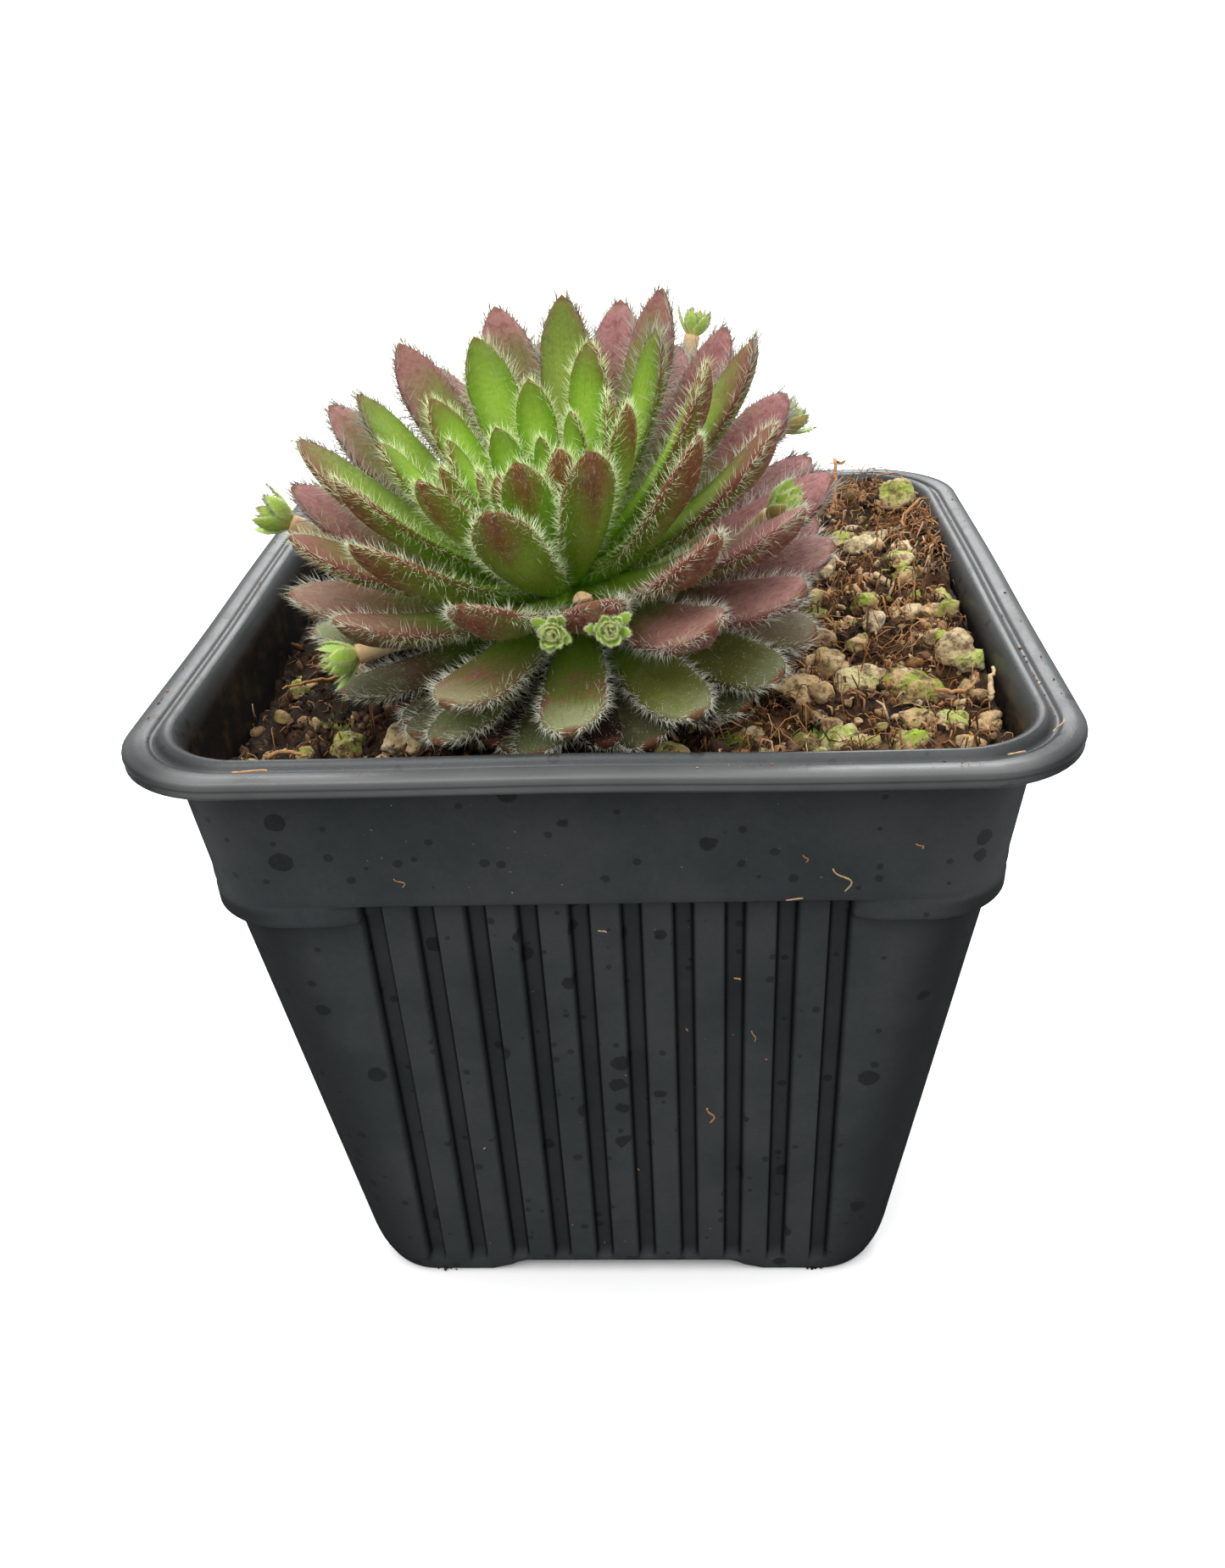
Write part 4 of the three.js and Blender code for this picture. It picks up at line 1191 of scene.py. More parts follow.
def mossMaterial():
    material, tree, shader = startMaterial("mossLeaf", Roughness=0.7, Subsurface_Weight=0.1,
                                           Subsurface_Scale=0.001)
    patch = tree.ramp(tree.noise(500.0, 3.0), 0.35, 0.65)
    tree.join(tree.mix(patch, (0.035, 0.065, 0.006), (0.15, 0.24, 0.018)), shader["Base Color"])
    return material


def addMoss(material):
    luck = np.random.default_rng(soil["seed"] + 5)
    patches = np.array(mossPatches)
    chosen = patches[luck.integers(0, len(patches), soil["mossCount"])]
    spread = luck.normal(0, 0.42, (len(chosen), 2)) * chosen[:, 2:]
    starts = onGround(*(chosen[:, :2] + spread).T)
    ways = unit(luck.normal(0, 0.6, starts.shape) + (0, 0, 1))
    lengths, radii = luck.uniform(0.35, 0.95, len(starts)), luck.uniform(0.07, 0.14, len(starts))
    addPiece("mossTufts", *spikes(starts, ways, lengths, radii), material)


# Leaves: one rule gives the skin of every leaf, for the mesh and for the hairs on it.

leafShape = {
    "neck": 0.38,
    "faceShare": 0.35,
    "keel": 0.30,
}


def onBlade(blades, which, share, angle):
    # share runs from root to tip, and the upper face has the angles from 0 to pi
    keys = ("length", "width", "depth", "blunt", "twist", "bend", "hollow", "tipLift")
    length, width, depth, blunt, twist, bend, hollow, tipLift = (blades[key][which] for key in keys)
    widest, curl, neck = blades["widest"], blades["curl"], leafShape["neck"]
    fill = neck + (1 - neck) * np.sin(np.pi / 2 * np.minimum(share / widest, 1)) ** 1.3
    fall = np.clip((share - widest) / (1 - widest), 0, 1)
    taper = (1 - fall ** (2.5 + 0.5 * blunt)) ** (0.84 - 0.32 * blunt)
    flat, rise = np.cos(angle), np.sin(angle)
    thick = depth * np.minimum(1, 0.6 + share * 3) * taper ** 0.85
    faceShare = leafShape["faceShare"]
    upper = faceShare * np.abs(rise) ** 0.9 - hollow * rise ** 2 * np.sin(np.pi * share)
    keel = 1 + leafShape["keel"] * np.exp(-(flat / 0.3) ** 2) * share
    lower = (1 - faceShare) * np.abs(rise) ** 1.1 * keel
    across = flat * width / 2 * fill * taper
    over = np.where(rise > 0, upper, -lower) * thick
    cos, sin = np.cos(twist * share), np.sin(twist * share)
    over, across = over * cos + across * sin, across * cos - over * sin
    over -= 4 * curl * length * share * (1 - share)
    across += bend * length * share ** 2
    run = share * length
    point = blades["root"][which] + blades["along"][which] * run[..., None]
    point += blades["across"][which] * across[..., None] + blades["face"][which] * over[..., None]
    point[..., 2] += tipLift * run ** 2
    return point


def skinAt(blades, which, share, angle):
    # the point, the way to the tip and the way out of the skin
    share = np.clip(share, 0.01, 0.985)
    here = onBlade(blades, which, share, angle)
    ahead = unit(onBlade(blades, which, share + 0.01, angle) - here)
    around = onBlade(blades, which, share, angle + 0.04) - onBlade(blades, which, share, angle - 0.04)
    return here, ahead, unit(np.cross(ahead, around))


def addBlades(name, blades, plan, material, nodes):
    count, steps, around = len(blades["age"]), plan["bladeSteps"], plan["bladeAround"]
    rows = 1 - (1 - np.linspace(0, 1, steps + 1)[:-1]) ** 1.25
    rows[0] = 0.004
    angle = np.arange(around) * 2 * np.pi / around + np.pi / around
    which, share, turn = np.meshgrid(np.arange(count), rows, angle, indexing="ij")
    body = onBlade(blades, which, share, turn).reshape(count, -1, 3)
    every = np.arange(count)
    ends = [onBlade(blades, every, np.full(count, end), np.zeros(count))[:, None] for end in (0.0, 1.0)]
    points = np.concatenate([body, *ends], 1)
    each = points.shape[1]
    col = np.arange(around)
    nxt = (col + 1) % around
    last = (steps - 1) * around
    root = np.stack([np.full(around, each - 2), col, nxt], -1)
    tip = np.stack([np.full(around, each - 1), last + nxt, last + col], -1)
    faces = [repeatFaces(part, count, each) for part in (ringFaces(steps, around)[:, ::-1], root, tip)]
    grid = share.reshape(count, -1)
    side = np.cos(turn).reshape(count, -1)
    back = 0.5 - 0.5 * np.sign(np.sin(turn)) * np.abs(np.sin(turn)) ** 0.6
    zeros = np.zeros((count, 1))
    layers = {
        "along": np.concatenate([grid, zeros, zeros + 1], 1),
        "side": np.concatenate([side, zeros, zeros], 1),
        "back": np.concatenate([back.reshape(count, -1), zeros + 0.5, zeros + 0.5], 1),
    }
    layers.update({key: blades[key] for key in ("age", "tint", "blush", "low")})
    addPiece(name, points.reshape(-1, 3), faces, material, layers, plan["slot"], nodes)


def bladeSet(plan, luck, root, along, across, **more):
    # all that onBlade needs of each leaf, which has its own small twist and bend
    count = len(root)
    return {
        **more, "root": root, "along": along, "across": across, "face": np.cross(across, along),
        "depth": more["width"] * plan["depthShare"], "curl": plan["curl"], "widest": plan["widest"],
        "sprout": plan["sprout"], "twist": luck.normal(0, plan["twist"], count),
        "bend": luck.normal(0, plan["bend"], count), "tint": luck.random(count),
    }


hen = {
    "leafCount": 110,
    "withered": (52, 64, 75),
    "raised": 62,
    "divergence": 137.923,
    "startTurn": 187.2,
    "turnDrift": 9.5,
    "foot": (-2.9, -11.7, 82.2),
    "lean": (-0.197, -0.289),
    "drift": (-1.22, -5.0),
    "stemRise": 3.0,
    "risePower": 2.6,
    "oldLength": 24.2,
    "fullLength": 29.6,
    "youngLength": 13.75,
    "fullAge": 0.709,
    "growthPower": 1.48,
    "declinePower": 1.3,
    "oldAngle": 114.1,
    "youngAngle": 13.4,
    "anglePower": 1.228,
    "angleBulge": 4.97,
    "angleSway": 1.57,
    "angleSwayTurn": 92,
    "tipLift": 0.0019,
    "tipRest": 1.9,
    "tipInside": 38.4,
    "raisedLift": 0.07,
    "raisedLength": 0.86,
    "stemRadius": 2.6,
    "stemSteps": 26,
    "stemSides": 36,
    "oldWidth": 7.5,
    "youngWidth": 2.7,
    "widthPower": 4,
    "widest": 0.76,
    "lowNarrow": 0.15,
    "droop": 0.55,
    "depthShare": 0.40,
    "seed": 5,
    "curl": 0.06,
    "twist": 0.10,
    "bend": 0.022,
    "sprout": 0.0,
    "slot": "hen_leaf",
    "bladeSteps": 20,
    "bladeAround": 14,
    "crown": (-3.0, 80.0),
    "fringeGap": 0.10,
    "fringeLength": 1.40,
    "fringeRadius": 0.023,
    "downCount": 470,
    "downBack": 0.62,
    "downFace": 0.20,
    "downRadius": 0.015,
}


def crownAxes():
    axis = unit(np.array([*hen["lean"], 1.0]))
    sideways = unit(np.cross((0, 1, 0), axis))
    return axis, sideways, np.cross(axis, sideways)


def henBlades():
    # where each leaf of the hen stands, by the rule that the frame's own leaves follow
    luck = np.random.default_rng(hen["seed"])
    index = np.array([i for i in range(hen["leafCount"]) if i not in hen["withered"]])
    age = index / (hen["leafCount"] - 1)
    turn = np.radians(hen["startTurn"] - hen["divergence"] * index + hen["turnDrift"] * age ** 2)
    spread = (hen["oldAngle"] - hen["youngAngle"]) * age ** hen["anglePower"]
    bulge = hen["angleBulge"] * np.sin(np.pi * age)
    sway = hen["angleSway"] * np.cos(turn - math.radians(hen["angleSwayTurn"]))
    lean = np.radians(hen["oldAngle"] - spread + bulge + sway)[:, None]
    axis, sideways, backward = crownAxes()
    outward = np.cos(turn)[:, None] * sideways + np.sin(turn)[:, None] * backward
    along = np.sin(lean) * outward + np.cos(lean) * axis
    root = np.array(hen["foot"]) + axis * (hen["stemRise"] * age ** hen["risePower"])[:, None]
    root[:, :2] += np.outer(age ** 2, hen["drift"])
    grown = np.sin(np.pi / 2 * np.minimum(age / hen["fullAge"], 1)) ** hen["growthPower"]
    late = np.clip((age - hen["fullAge"]) / (1 - hen["fullAge"]), 0, 1)
    shrunk = np.cos(np.pi / 2 * late) ** hen["declinePower"]
    early = hen["oldLength"] + (hen["fullLength"] - hen["oldLength"]) * grown
    young = hen["youngLength"] + (hen["fullLength"] - hen["youngLength"]) * shrunk
    length = np.where(age < hen["fullAge"], early, young)
    lowest = (soil["top"] + hen["tipRest"] - root[:, 2]) / length
    resting = along[:, 2] < lowest
    level = np.sqrt((1 - lowest ** 2) / (1 - along[:, 2] ** 2))
    along[resting, :2] *= level[resting, None]
    along[resting, 2] = lowest[resting]
    tip = root + along * length[:, None]
    inside = (hen["tipInside"] - np.abs(root[:, 1])) / (np.abs(tip[:, 1]) - np.abs(root[:, 1]))
    short = (tip[:, 2] <= pot["height"] + 2) & (np.abs(tip[:, 1]) >= hen["tipInside"])
    length = np.where(short, length * inside, length)
    across = np.cross(outward, axis)
    across = unit(across - along * (across * along).sum(1)[:, None])
    width = hen["oldWidth"] - (hen["oldWidth"] - hen["youngWidth"]) * age ** hen["widthPower"]
    low = smoothStep(0.16, -0.22, along[:, 2])
    width = width * (1 - hen["lowNarrow"] * low)
    spare = root[:, 2] + along[:, 2] * length - soil["top"] - hen["tipRest"] - 0.8
    droop = hen["droop"] * low * np.maximum(spare, 0) / length ** 2
    # the leaves at the back blush as much as the outer ones
    behind = smoothStep(-0.1, 0.35, along @ np.array((-0.2, 0.98, 0))) * smoothStep(0.86, 0.72, age)
    blush = np.maximum(smoothStep(0.72, 0.42, age), behind) * (1 - 0.6 * low)
    # one leaf is held up and short over the two chicks at the front
    raised = index == hen["raised"]
    along[raised] = unit(along[raised] + (0, 0, hen["raisedLift"]))
    length = np.where(raised, length * hen["raisedLength"], length)
    return bladeSet(
        hen, luck, root, along, across, length=length, width=width, age=age, blush=blush,
        blunt=smoothStep(0.75, 0.15, age), hollow=0.22 * smoothStep(0.25, 0.7, age),
        low=smoothStep(0.21, -0.18, along[:, 2]), tipLift=hen["tipLift"] - droop)


def leafNoise(tree, side, along, tint, stretch, scale, detail):
    # noise that is stretched along each leaf, and differs from leaf to leaf
    place = tree.vector(*(tree.times(value, by) for value, by in zip((side, along, tint), stretch)))
    return tree.noise(scale, detail, 0.6, place)


def leafMaterial():
    material, tree, shader = startMaterial(
        "hairyLeaf", Subsurface_Weight=0.18, Subsurface_Scale=0.0016, Subsurface_Radius=(0.5, 0.9, 0.2),
        Specular_IOR_Level=0.14)
    along, side, back = (tree.layer(name) for name in ("along", "side", "back"))
    age, tint, blush, low = (tree.layer(name) for name in ("age", "tint", "blush", "low"))
    wide = tree.noise(190.0, 3.0, 0.55)
    fine = tree.noise(1400.0, 4.0, 0.6)
    # streaks stretched along the leaf, for the veins and for painted shadows of the hairs
    veinsAndHairShadows = leafNoise(tree, side, along, tint, (9.0, 3.5, 90.0), 1.6, 4.0)
    rim = tree.math("ABSOLUTE", side)
    # lighter along the middle of each leaf and darker at its edges: painted light and shade across the leaf
    middle = tree.ramp(rim, 0.95, 0.15)
    # green body: bright at the root and in the heart, olive in the outer leaves, with painted light in the
    # middle and painted shade at the edges and tip
    mature = tree.mix(middle, (0.120, 0.175, 0.016), (0.200, 0.295, 0.044))
    fresh = tree.mix(middle, (0.158, 0.345, 0.014), (0.315, 0.535, 0.050))
    body = tree.coats(
        mature,
        (tree.ramp(age, 0.62, 0.97), fresh),
        # the root's own bright green, raised further as painted light
        (tree.ramp(along, 0.62, 0.15), (0.280, 0.540, 0.012)),
        (tree.times(blush, tree.ramp(along, 0.2, 0.6)), (0.175, 0.150, 0.050)),
        # darker green towards the tip: painted shade
        (tree.ramp(along, 0.72, 1.0, 0.0, 0.7), (0.085, 0.120, 0.010)),
    )
    # a blush runs down from the tip of the upper face, and takes most of the back
    reach = tree.shake(tree.shake(along, wide, 0.26), tint, 0.16)
    upReach = tree.timesPlus(tree.ramp(rim, 0.5, 1.0), 0.12, reach)
    start = tree.ramp(age, 0.47, 0.83, 0.45, 0.95, False)
    tip = tree.ramp(tree.minus(upReach, start), -0.08, 0.20)
    rose = tree.mix(blush, (0.170, 0.055, 0.030), (0.360, 0.150, 0.165))
    rose = tree.mix(tree.ramp(fine, 0.42, 0.70), rose, (0.240, 0.075, 0.085))
    upper = tree.mix(tree.times(tip, 0.88), body, rose)
    downReach = tree.timesPlus(rim, -0.22, reach)
    backStart = tree.ramp(age, 0.35, 0.80, 0.40, 0.64, False)
    flush = tree.ramp(tree.minus(downReach, backStart), -0.10, 0.28)
    wine = tree.mix(blush, (0.200, 0.062, 0.024), (0.340, 0.112, 0.125))
    wine = tree.mix(tree.ramp(fine, 0.56, 0.34), wine, (0.140, 0.032, 0.036))
    under = tree.mix(tree.times(flush, 0.94), body, wine)
    seam = tree.times(tree.ramp(rim, 0.90, 1.0), tree.ramp(along, 0.30, 0.70))
    # the low leaves: green, then wine and olive, then grey and hoary at their ends
    patch = tree.shake(tree.noise(330.0, 3.0), tint, 0.5)
    lowTone = tree.mix(tree.ramp(patch, 0.42, 0.62), (0.135, 0.165, 0.024), (0.235, 0.090, 0.062))
    hoary = tree.ramp(tree.timesPlus(tree.plus(fine, veinsAndHairShadows), 0.22, reach), 0.92, 1.18)
    lowBody = tree.coats(
        (0.150, 0.285, 0.012),
        (tree.ramp(along, 0.48, 0.74), lowTone),
        (tree.times(hoary, 0.66), (0.280, 0.330, 0.190)),
        (tree.times(tree.ramp(rim, 0.85, 1.0), 0.35), (0.150, 0.060, 0.055)),
        # the lowest lie in the dark, and the oldest are withered to wine and black
        (tree.ramp(low, 0.88, 1.0, 0.0, 0.60), (0.030, 0.032, 0.009)),
        (tree.ramp(age, 0.38, 0.26, 0.0, 0.62), (0.034, 0.036, 0.010)),
        (tree.ramp(age, 0.20, 0.12), (0.026, 0.010, 0.009)),
    )
    # the finest down is a pale stipple that runs to the tip
    stipple = leafNoise(tree, side, along, tint, (12.0, 28.0, 70.0), 2.2, 2.0)
    stipple = tree.times(tree.ramp(stipple, 0.55, 0.68), tree.ramp(back, 0.3, 0.6, 0.10, 0.34))
    stipple = tree.times(stipple, tree.ramp(along, 0.15, 0.55, 0.2, 1.0))
    color = tree.coats(
        upper,
        (tree.ramp(back, 0.42, 0.62), under),
        (tree.times(seam, 0.7), (0.150, 0.030, 0.030)),
        (low, lowBody),
        # dark streaks along the leaf: veins, and painted shadows of the hairs
        (tree.ramp(veinsAndHairShadows, 0.46, 0.30, 0.0, 0.20), (0.030, 0.030, 0.006)),
        (tree.ramp(along, 0.965, 0.99, 0.0, 0.85), (0.120, 0.035, 0.014)),
        (stipple, tree.mix(blush, (0.46, 0.38, 0.20), (0.52, 0.42, 0.42))),
    )
    mottle = tree.use(speckle, Color=color, Dark=(0.045, 0.040, 0.012), Light=(0.42, 0.50, 0.22),
                      Scale=1800.0, Amount=0.12)
    tree.join(tree.ramp(fine, 0.3, 0.7, 0.44, 0.60), shader["Roughness"])
    height = tree.plus(mottle["Height"], tree.times(tree.cells(1900.0), 0.8))
    dress(tree, shader, mottle["Color"], tree.timesPlus(veinsAndHairShadows, 2.2, height), 0.34, 0.00025)
    return material


def hairMaterial():
    material, tree, shader = startMaterial("silkyHair", Roughness=0.55, Specular_IOR_Level=0.4)
    tone = tree.coats(
        (0.80, 0.80, 0.66),
        (tree.layer("green"), (0.70, 0.82, 0.42)),
        # darker where tint is high: on blushed leaves, and as painted shade on the hairs at the back of the
        # crown
        (tree.layer("tint"), (0.13, 0.10, 0.11)),
        (tree.times(tree.layer("short"), 0.75), (0.60, 0.45, 0.18)),
    )
    tree.join(tone, shader["Base Color"])
    return material


def addHairs(name, starts, ways, lengths, radii, layers, material, slotName):
    addPiece(name, *spikes(starts, ways, lengths, radii), material, layers, slotName)


def hairGreen(blades, which):
    return smoothStep(0.45, 0.9, blades["age"][which] + blades["sprout"])


def addFringe(name, blades, chosen, plan, luck, material):
    # a dense fringe along both edges of each leaf, leaning to its tip
    counts = np.maximum(6, (blades["length"][chosen] / plan["fringeGap"]).astype(int))
    which = np.repeat(chosen, 2 * counts)
    count = len(which)
    share = 0.12 + 0.875 * luck.random(count) ** 0.62
    edge = np.where(luck.random(count) < 0.5, 0, np.pi) + luck.normal(0, 0.32, count)
    here, ahead, out = skinAt(blades, which, share, edge)
    near = smoothStep(0.7, 1.0, share)
    ways = out * (1 - 0.25 * near)[:, None] + ahead * (0.45 + 0.4 * near)[:, None]
    ways = unit(ways + luck.normal(0, 0.30, ways.shape))
    lengths = plan["fringeLength"] * luck.uniform(0.45, 1.2, count)
    lengths = lengths * (0.65 + 0.35 * smoothStep(0, 0.4, share))
    # the hairs that stand out from the back of the crown are long and stout, and darkened as painted shade
    # against the light behind them
    outward = (unit(here[:, (0, 2)] - np.array(hen["crown"])) * ways[:, (0, 2)]).sum(1)
    rear = smoothStep(-24, -16, here[:, 1]) * smoothStep(87, 92, here[:, 2]) * smoothStep(0, 0.4, outward)
    rear = rear * smoothStep(0.30, 0.5, share) * smoothStep(0.87, 0.82, blades["age"][which])
    shaded = rear * luck.uniform(0.55, 1, count)
    tint = np.maximum(0.35 * blades["blush"][which] * (1 - blades["low"][which]), shaded)
    layers = {"tint": tint, "green": hairGreen(blades, which), "short": 0.0}
    addHairs(name, here - out * 0.04, ways, lengths * (1 + 0.6 * rear),
             plan["fringeRadius"] * (1 + 0.9 * rear), layers, material, plan["slot"])


def addDown(name, blades, chosen, plan, luck, material):
    # short silky hairs: most on the back, fewer and shorter ones on the upper face
    which = np.repeat(chosen, plan["downCount"])
    count, low, age = len(which), blades["low"][which], blades["age"][which]
    onBack = luck.random(count) < 0.80 - 0.55 * low
    share = 0.16 + 0.83 * luck.random(count) ** 0.8
    lift = luck.uniform(0.06, 0.94, count) * np.pi
    here, ahead, out = skinAt(blades, which, share, np.where(onBack, -lift, lift))
    ways = unit(out * 0.55 + ahead * 0.90 + luck.normal(0, 0.28, here.shape))
    lengths = np.where(onBack, plan["downBack"], plan["downFace"] * (1 + low)) * luck.uniform(0.6, 1.3, count)
    layers = {"tint": 0.3 * blades["blush"][which], "green": hairGreen(blades, which),
              "short": smoothStep(0.38, 0.55, age)}
    addHairs(name, here - out * 0.03, ways, lengths * (0.6 + 0.5 * share), plan["downRadius"], layers,
             material, plan["slot"])


def addHen(leafFinish, hairFinish):
    blades = henBlades()
    addBlades("henLeaves", blades, hen, leafFinish, ["hen_rosette"])
    luck = np.random.default_rng(hen["seed"] + 1)
    for part, chosen in enumerate(np.array_split(np.arange(len(blades["age"])), 2), 1):
        addFringe("henFringe%d" % part, blades, chosen, hen, luck, hairFinish)
        addDown("henDown%d" % part, blades, chosen, hen, luck, hairFinish)
    return blades


def addLeafCrumb(blades, material):
    # a crumb of pumice has fallen on the raised leaf
    luck = np.random.default_rng(hen["seed"] + 2)
    lifted = np.array([hen["raised"] - sum(gone < hen["raised"] for gone in hen["withered"])])
    here, _, out = skinAt(blades, lifted, np.array([0.85]), np.array([1.4]))
    stretch = np.array([(1.0, 0.8, 0.6)])
    points, faces = lumps(here + out * 0.4, np.array([0.85]), stretch, 3, 0.35, luck)
    addPiece("leafCrumb", points, faces, material, {"tint": 0.55, "green": 0.0})


def stemMaterial():
    material, tree, shader = startMaterial("oldStem", Roughness=0.85)
    dressSpeckled(tree, shader, (0.045, 0.030, 0.018), (0.012, 0.008, 0.005), (0.11, 0.075, 0.045),
                  1200.0, 0.8, 0.9, 0.0006)
    return material


def addStem(material):
    # a short woody stem, rough with the scars of old leaves
    steps, low = hen["stemSteps"], soil["top"] - 4
    x, y, top = hen["foot"]
    share = np.linspace(0, 1, steps)
    lines = np.stack([x + 0 * share, y + 0 * share, low + (top + 0.8 - low) * share], -1)[None]
    points, faces = tubes(lines, np.full((1, steps), hen["stemRadius"]), hen["stemSides"])
    away = points - np.column_stack([np.full((len(points), 2), (x, y)), points[:, 2]])
    scars = 0.10 * valueNoise(points, 1.3, 9) + 0.05 * np.sin(points[:, 2] * 5.2)
    addPiece("henStem", points + away * scars[:, None], faces, material, slotName="hen_leaf")


# Runners and chicks. Each runner is its chick's size and the points of its route.

runners = [
    (1.05, [(-6, -11.2, 81.5), (-15, -11.6, 83.5), (-26.5, -11.6, 86.4), (-32, -11.6, 89.1)]),
    (1.0, [(-5.8, -13.5, 81), (-9.5, -18.5, 82.4), (-15, -24, 82.6), (-23.2, -26.5, 80.9)]),
    (0.75, [(-4, -14, 81), (-3.9, -22, 82.5), (-3.6, -29, 84.2), (-3.5, -35.4, 86.3)]),
    (0.75, [(-1.8, -14, 81), (0.2, -22, 82.5), (1.3, -29, 84.2), (1.6, -35.5, 86.5)]),
    (1.0, [(-1, -12.5, 81.5), (5, -15, 84), (12.5, -18, 87.2), (16.5, -19.6, 91)]),
    (0.8, [(-2, -9, 83), (3, 1, 88), (7.8, 7.8, 95), (9.7, 10.6, 102)]),
    (0.9, [(-1, -10, 82), (6, -5, 85), (13, -0.5, 89), (18.8, 1.8, 93.7)]),
]

chick = {
    "fuzzy": (3, 4),
    "depthShare": 0.22,
    "widest": 0.45,
    "curl": 0.055,
    "twist": 0.12,
    "bend": 0.03,
    "sprout": 0.6,
    "slot": "chick_leaf",
    "seed": 100,
    "openAngle": 38,
    "closedAngle": 4,
    "clearance": 0.3,
    "bladeSteps": 12,
    "bladeAround": 10,
    "fringeGap": 0.07,
    "fringeLength": 0.40,
    "fringeRadius": 0.016,
    "downCount": 150,
    "downBack": 0.34,
    "downFace": 0.204,
    "downRadius": 0.013,
}

# two kinds of chick: with broad leaves and one tan bract, or a closed fuzzy bud
chickKinds = {
    "leafy": {"count": 17, "length": 4.3, "width": 1.95, "wild": 0.10, "blunt": -0.7, "bract": 1.0},
    "fuzzy": {"count": 26, "length": 3.5, "width": 1.45, "wild": 0.18, "blunt": 0.2, "bract": 0.0},
}

runner = {
    "seed": 77,
    "steps": 44,
    "sides": 14,
    "radius": 0.60,
    "endRadius": 1.0,
    "hairCount": 420,
    "hairRadius": 0.017,
}


def runnerPoint(path, share):
    # a centripetal Catmull-Rom curve through the points of a route
    path = np.array(path, float)
    path = np.concatenate([[2 * path[0] - path[1]], path, [2 * path[-1] - path[-2]]])
    travel = share * (len(path) - 3)
    step = min(int(travel), len(path) - 4)
    travel -= step
    before, start, end, after = path[step:step + 4]
    gaps = [np.linalg.norm(b - a) ** 0.5 for a, b in ((before, start), (start, end), (end, after))]
    leave = (start - before) / gaps[0] - (end - before) / (gaps[0] + gaps[1]) + (end - start) / gaps[1]
    arrive = (end - start) / gaps[1] - (after - start) / (gaps[1] + gaps[2]) + (after - end) / gaps[2]
    leave, arrive = leave * gaps[1], arrive * gaps[1]
    square = 3 * (end - start) - 2 * leave - arrive
    cube = 2 * (start - end) + leave + arrive
    return start + leave * travel + square * travel ** 2 + cube * travel ** 3


def chickBlades(number, size, path):
    luck = np.random.default_rng(chick["seed"] + number)
    end = runnerPoint(path, 1.0)
    axis = unit(end - runnerPoint(path, 0.995))
    upright = np.array((1.0, 0, 0)) if abs(axis[2]) > 0.8 else np.array((0, 0, 1.0))
    right = unit(np.cross(axis, upright))
    over = np.cross(right, axis)
    kind = chickKinds["fuzzy" if number in chick["fuzzy"] else "leafy"]
    count, wild = kind["count"], kind["wild"]
    age = np.arange(count) / (count - 1)
    turn = np.radians(goldenTurn * np.arange(count))[:, None] + luck.normal(0, wild, (count, 1))
    lean = np.radians(chick["openAngle"] - (chick["openAngle"] - chick["closedAngle"]) * age)[:, None]
    lean = lean + luck.normal(0, wild * 0.6, (count, 1))
    outward = right * np.cos(turn) + over * np.sin(turn)
    along = outward * np.sin(lean) + axis * np.cos(lean)
    root = end + axis * chick["clearance"] + axis * (size * 0.9 * age)[:, None]
    root = root + outward * (0.42 * size * (1 - age))[:, None]
    length = size * kind["length"] * (1 - 0.30 * age) * luck.uniform(0.85, 1.08, count)
    zeros = np.zeros(count)
    return bladeSet(
        chick, luck, root, along, np.cross(outward, axis), length=length,
        width=size * kind["width"] * (1 - 0.35 * age), age=age, blush=(age < 0.03) * kind["bract"],
        blunt=zeros + kind["blunt"], hollow=zeros + 0.12, low=zeros, tipLift=zeros)


def chickMaterial():
    material, tree, shader = startMaterial("chickLeaf", Roughness=0.5, Subsurface_Weight=0.2,
                                           Subsurface_Scale=0.0006, Subsurface_Radius=(0.9, 0.9, 0.4))
    along, back = tree.layer("along"), tree.layer("back")
    fine = tree.noise(1500.0, 3.0)
    edge = tree.ramp(tree.math("ABSOLUTE", tree.layer("side")), 0.35, 1.0)
    tip = tree.ramp(tree.shake(along, fine, 0.10), 0.88, 1.0)
    color = tree.coats(
        (0.350, 0.520, 0.075),
        (edge, (0.450, 0.580, 0.150)),
        (tree.ramp(along, 0.50, 0.0), (0.540, 0.580, 0.180)),
        (tree.times(tip, tree.ramp(back, 0.2, 0.9, 0.35, 0.85)), (0.420, 0.180, 0.110)),
        # the outermost is a tan bract
        (tree.times(tree.layer("blush"), 0.7), (0.480, 0.340, 0.110)),
    )
    dress(tree, shader, color, tree.plus(fine, tree.cells(2200.0)), 0.25, 0.0002)
    return material


def runnerMaterial():
    material, tree, shader = startMaterial("runnerSkin", Roughness=0.5, Subsurface_Weight=0.15,
                                           Subsurface_Scale=0.001, Subsurface_Radius=(0.9, 0.6, 0.3))
    base = tree.tones(tree.layer("along"), (0.300, 0.330, 0.090), (0.35, 0.80, (0.540, 0.430, 0.240)),
                      (0.90, 1.0, (0.540, 0.360, 0.170)))
    worn = tree.use(speckle, Color=base, Dark=(0.26, 0.12, 0.06), Light=(0.66, 0.50, 0.30), Scale=1300.0,
                    Amount=0.35)
    dress(tree, shader, worn["Color"], tree.noise(900.0, 3.0, 0.6), 0.3, 0.0002)
    return material


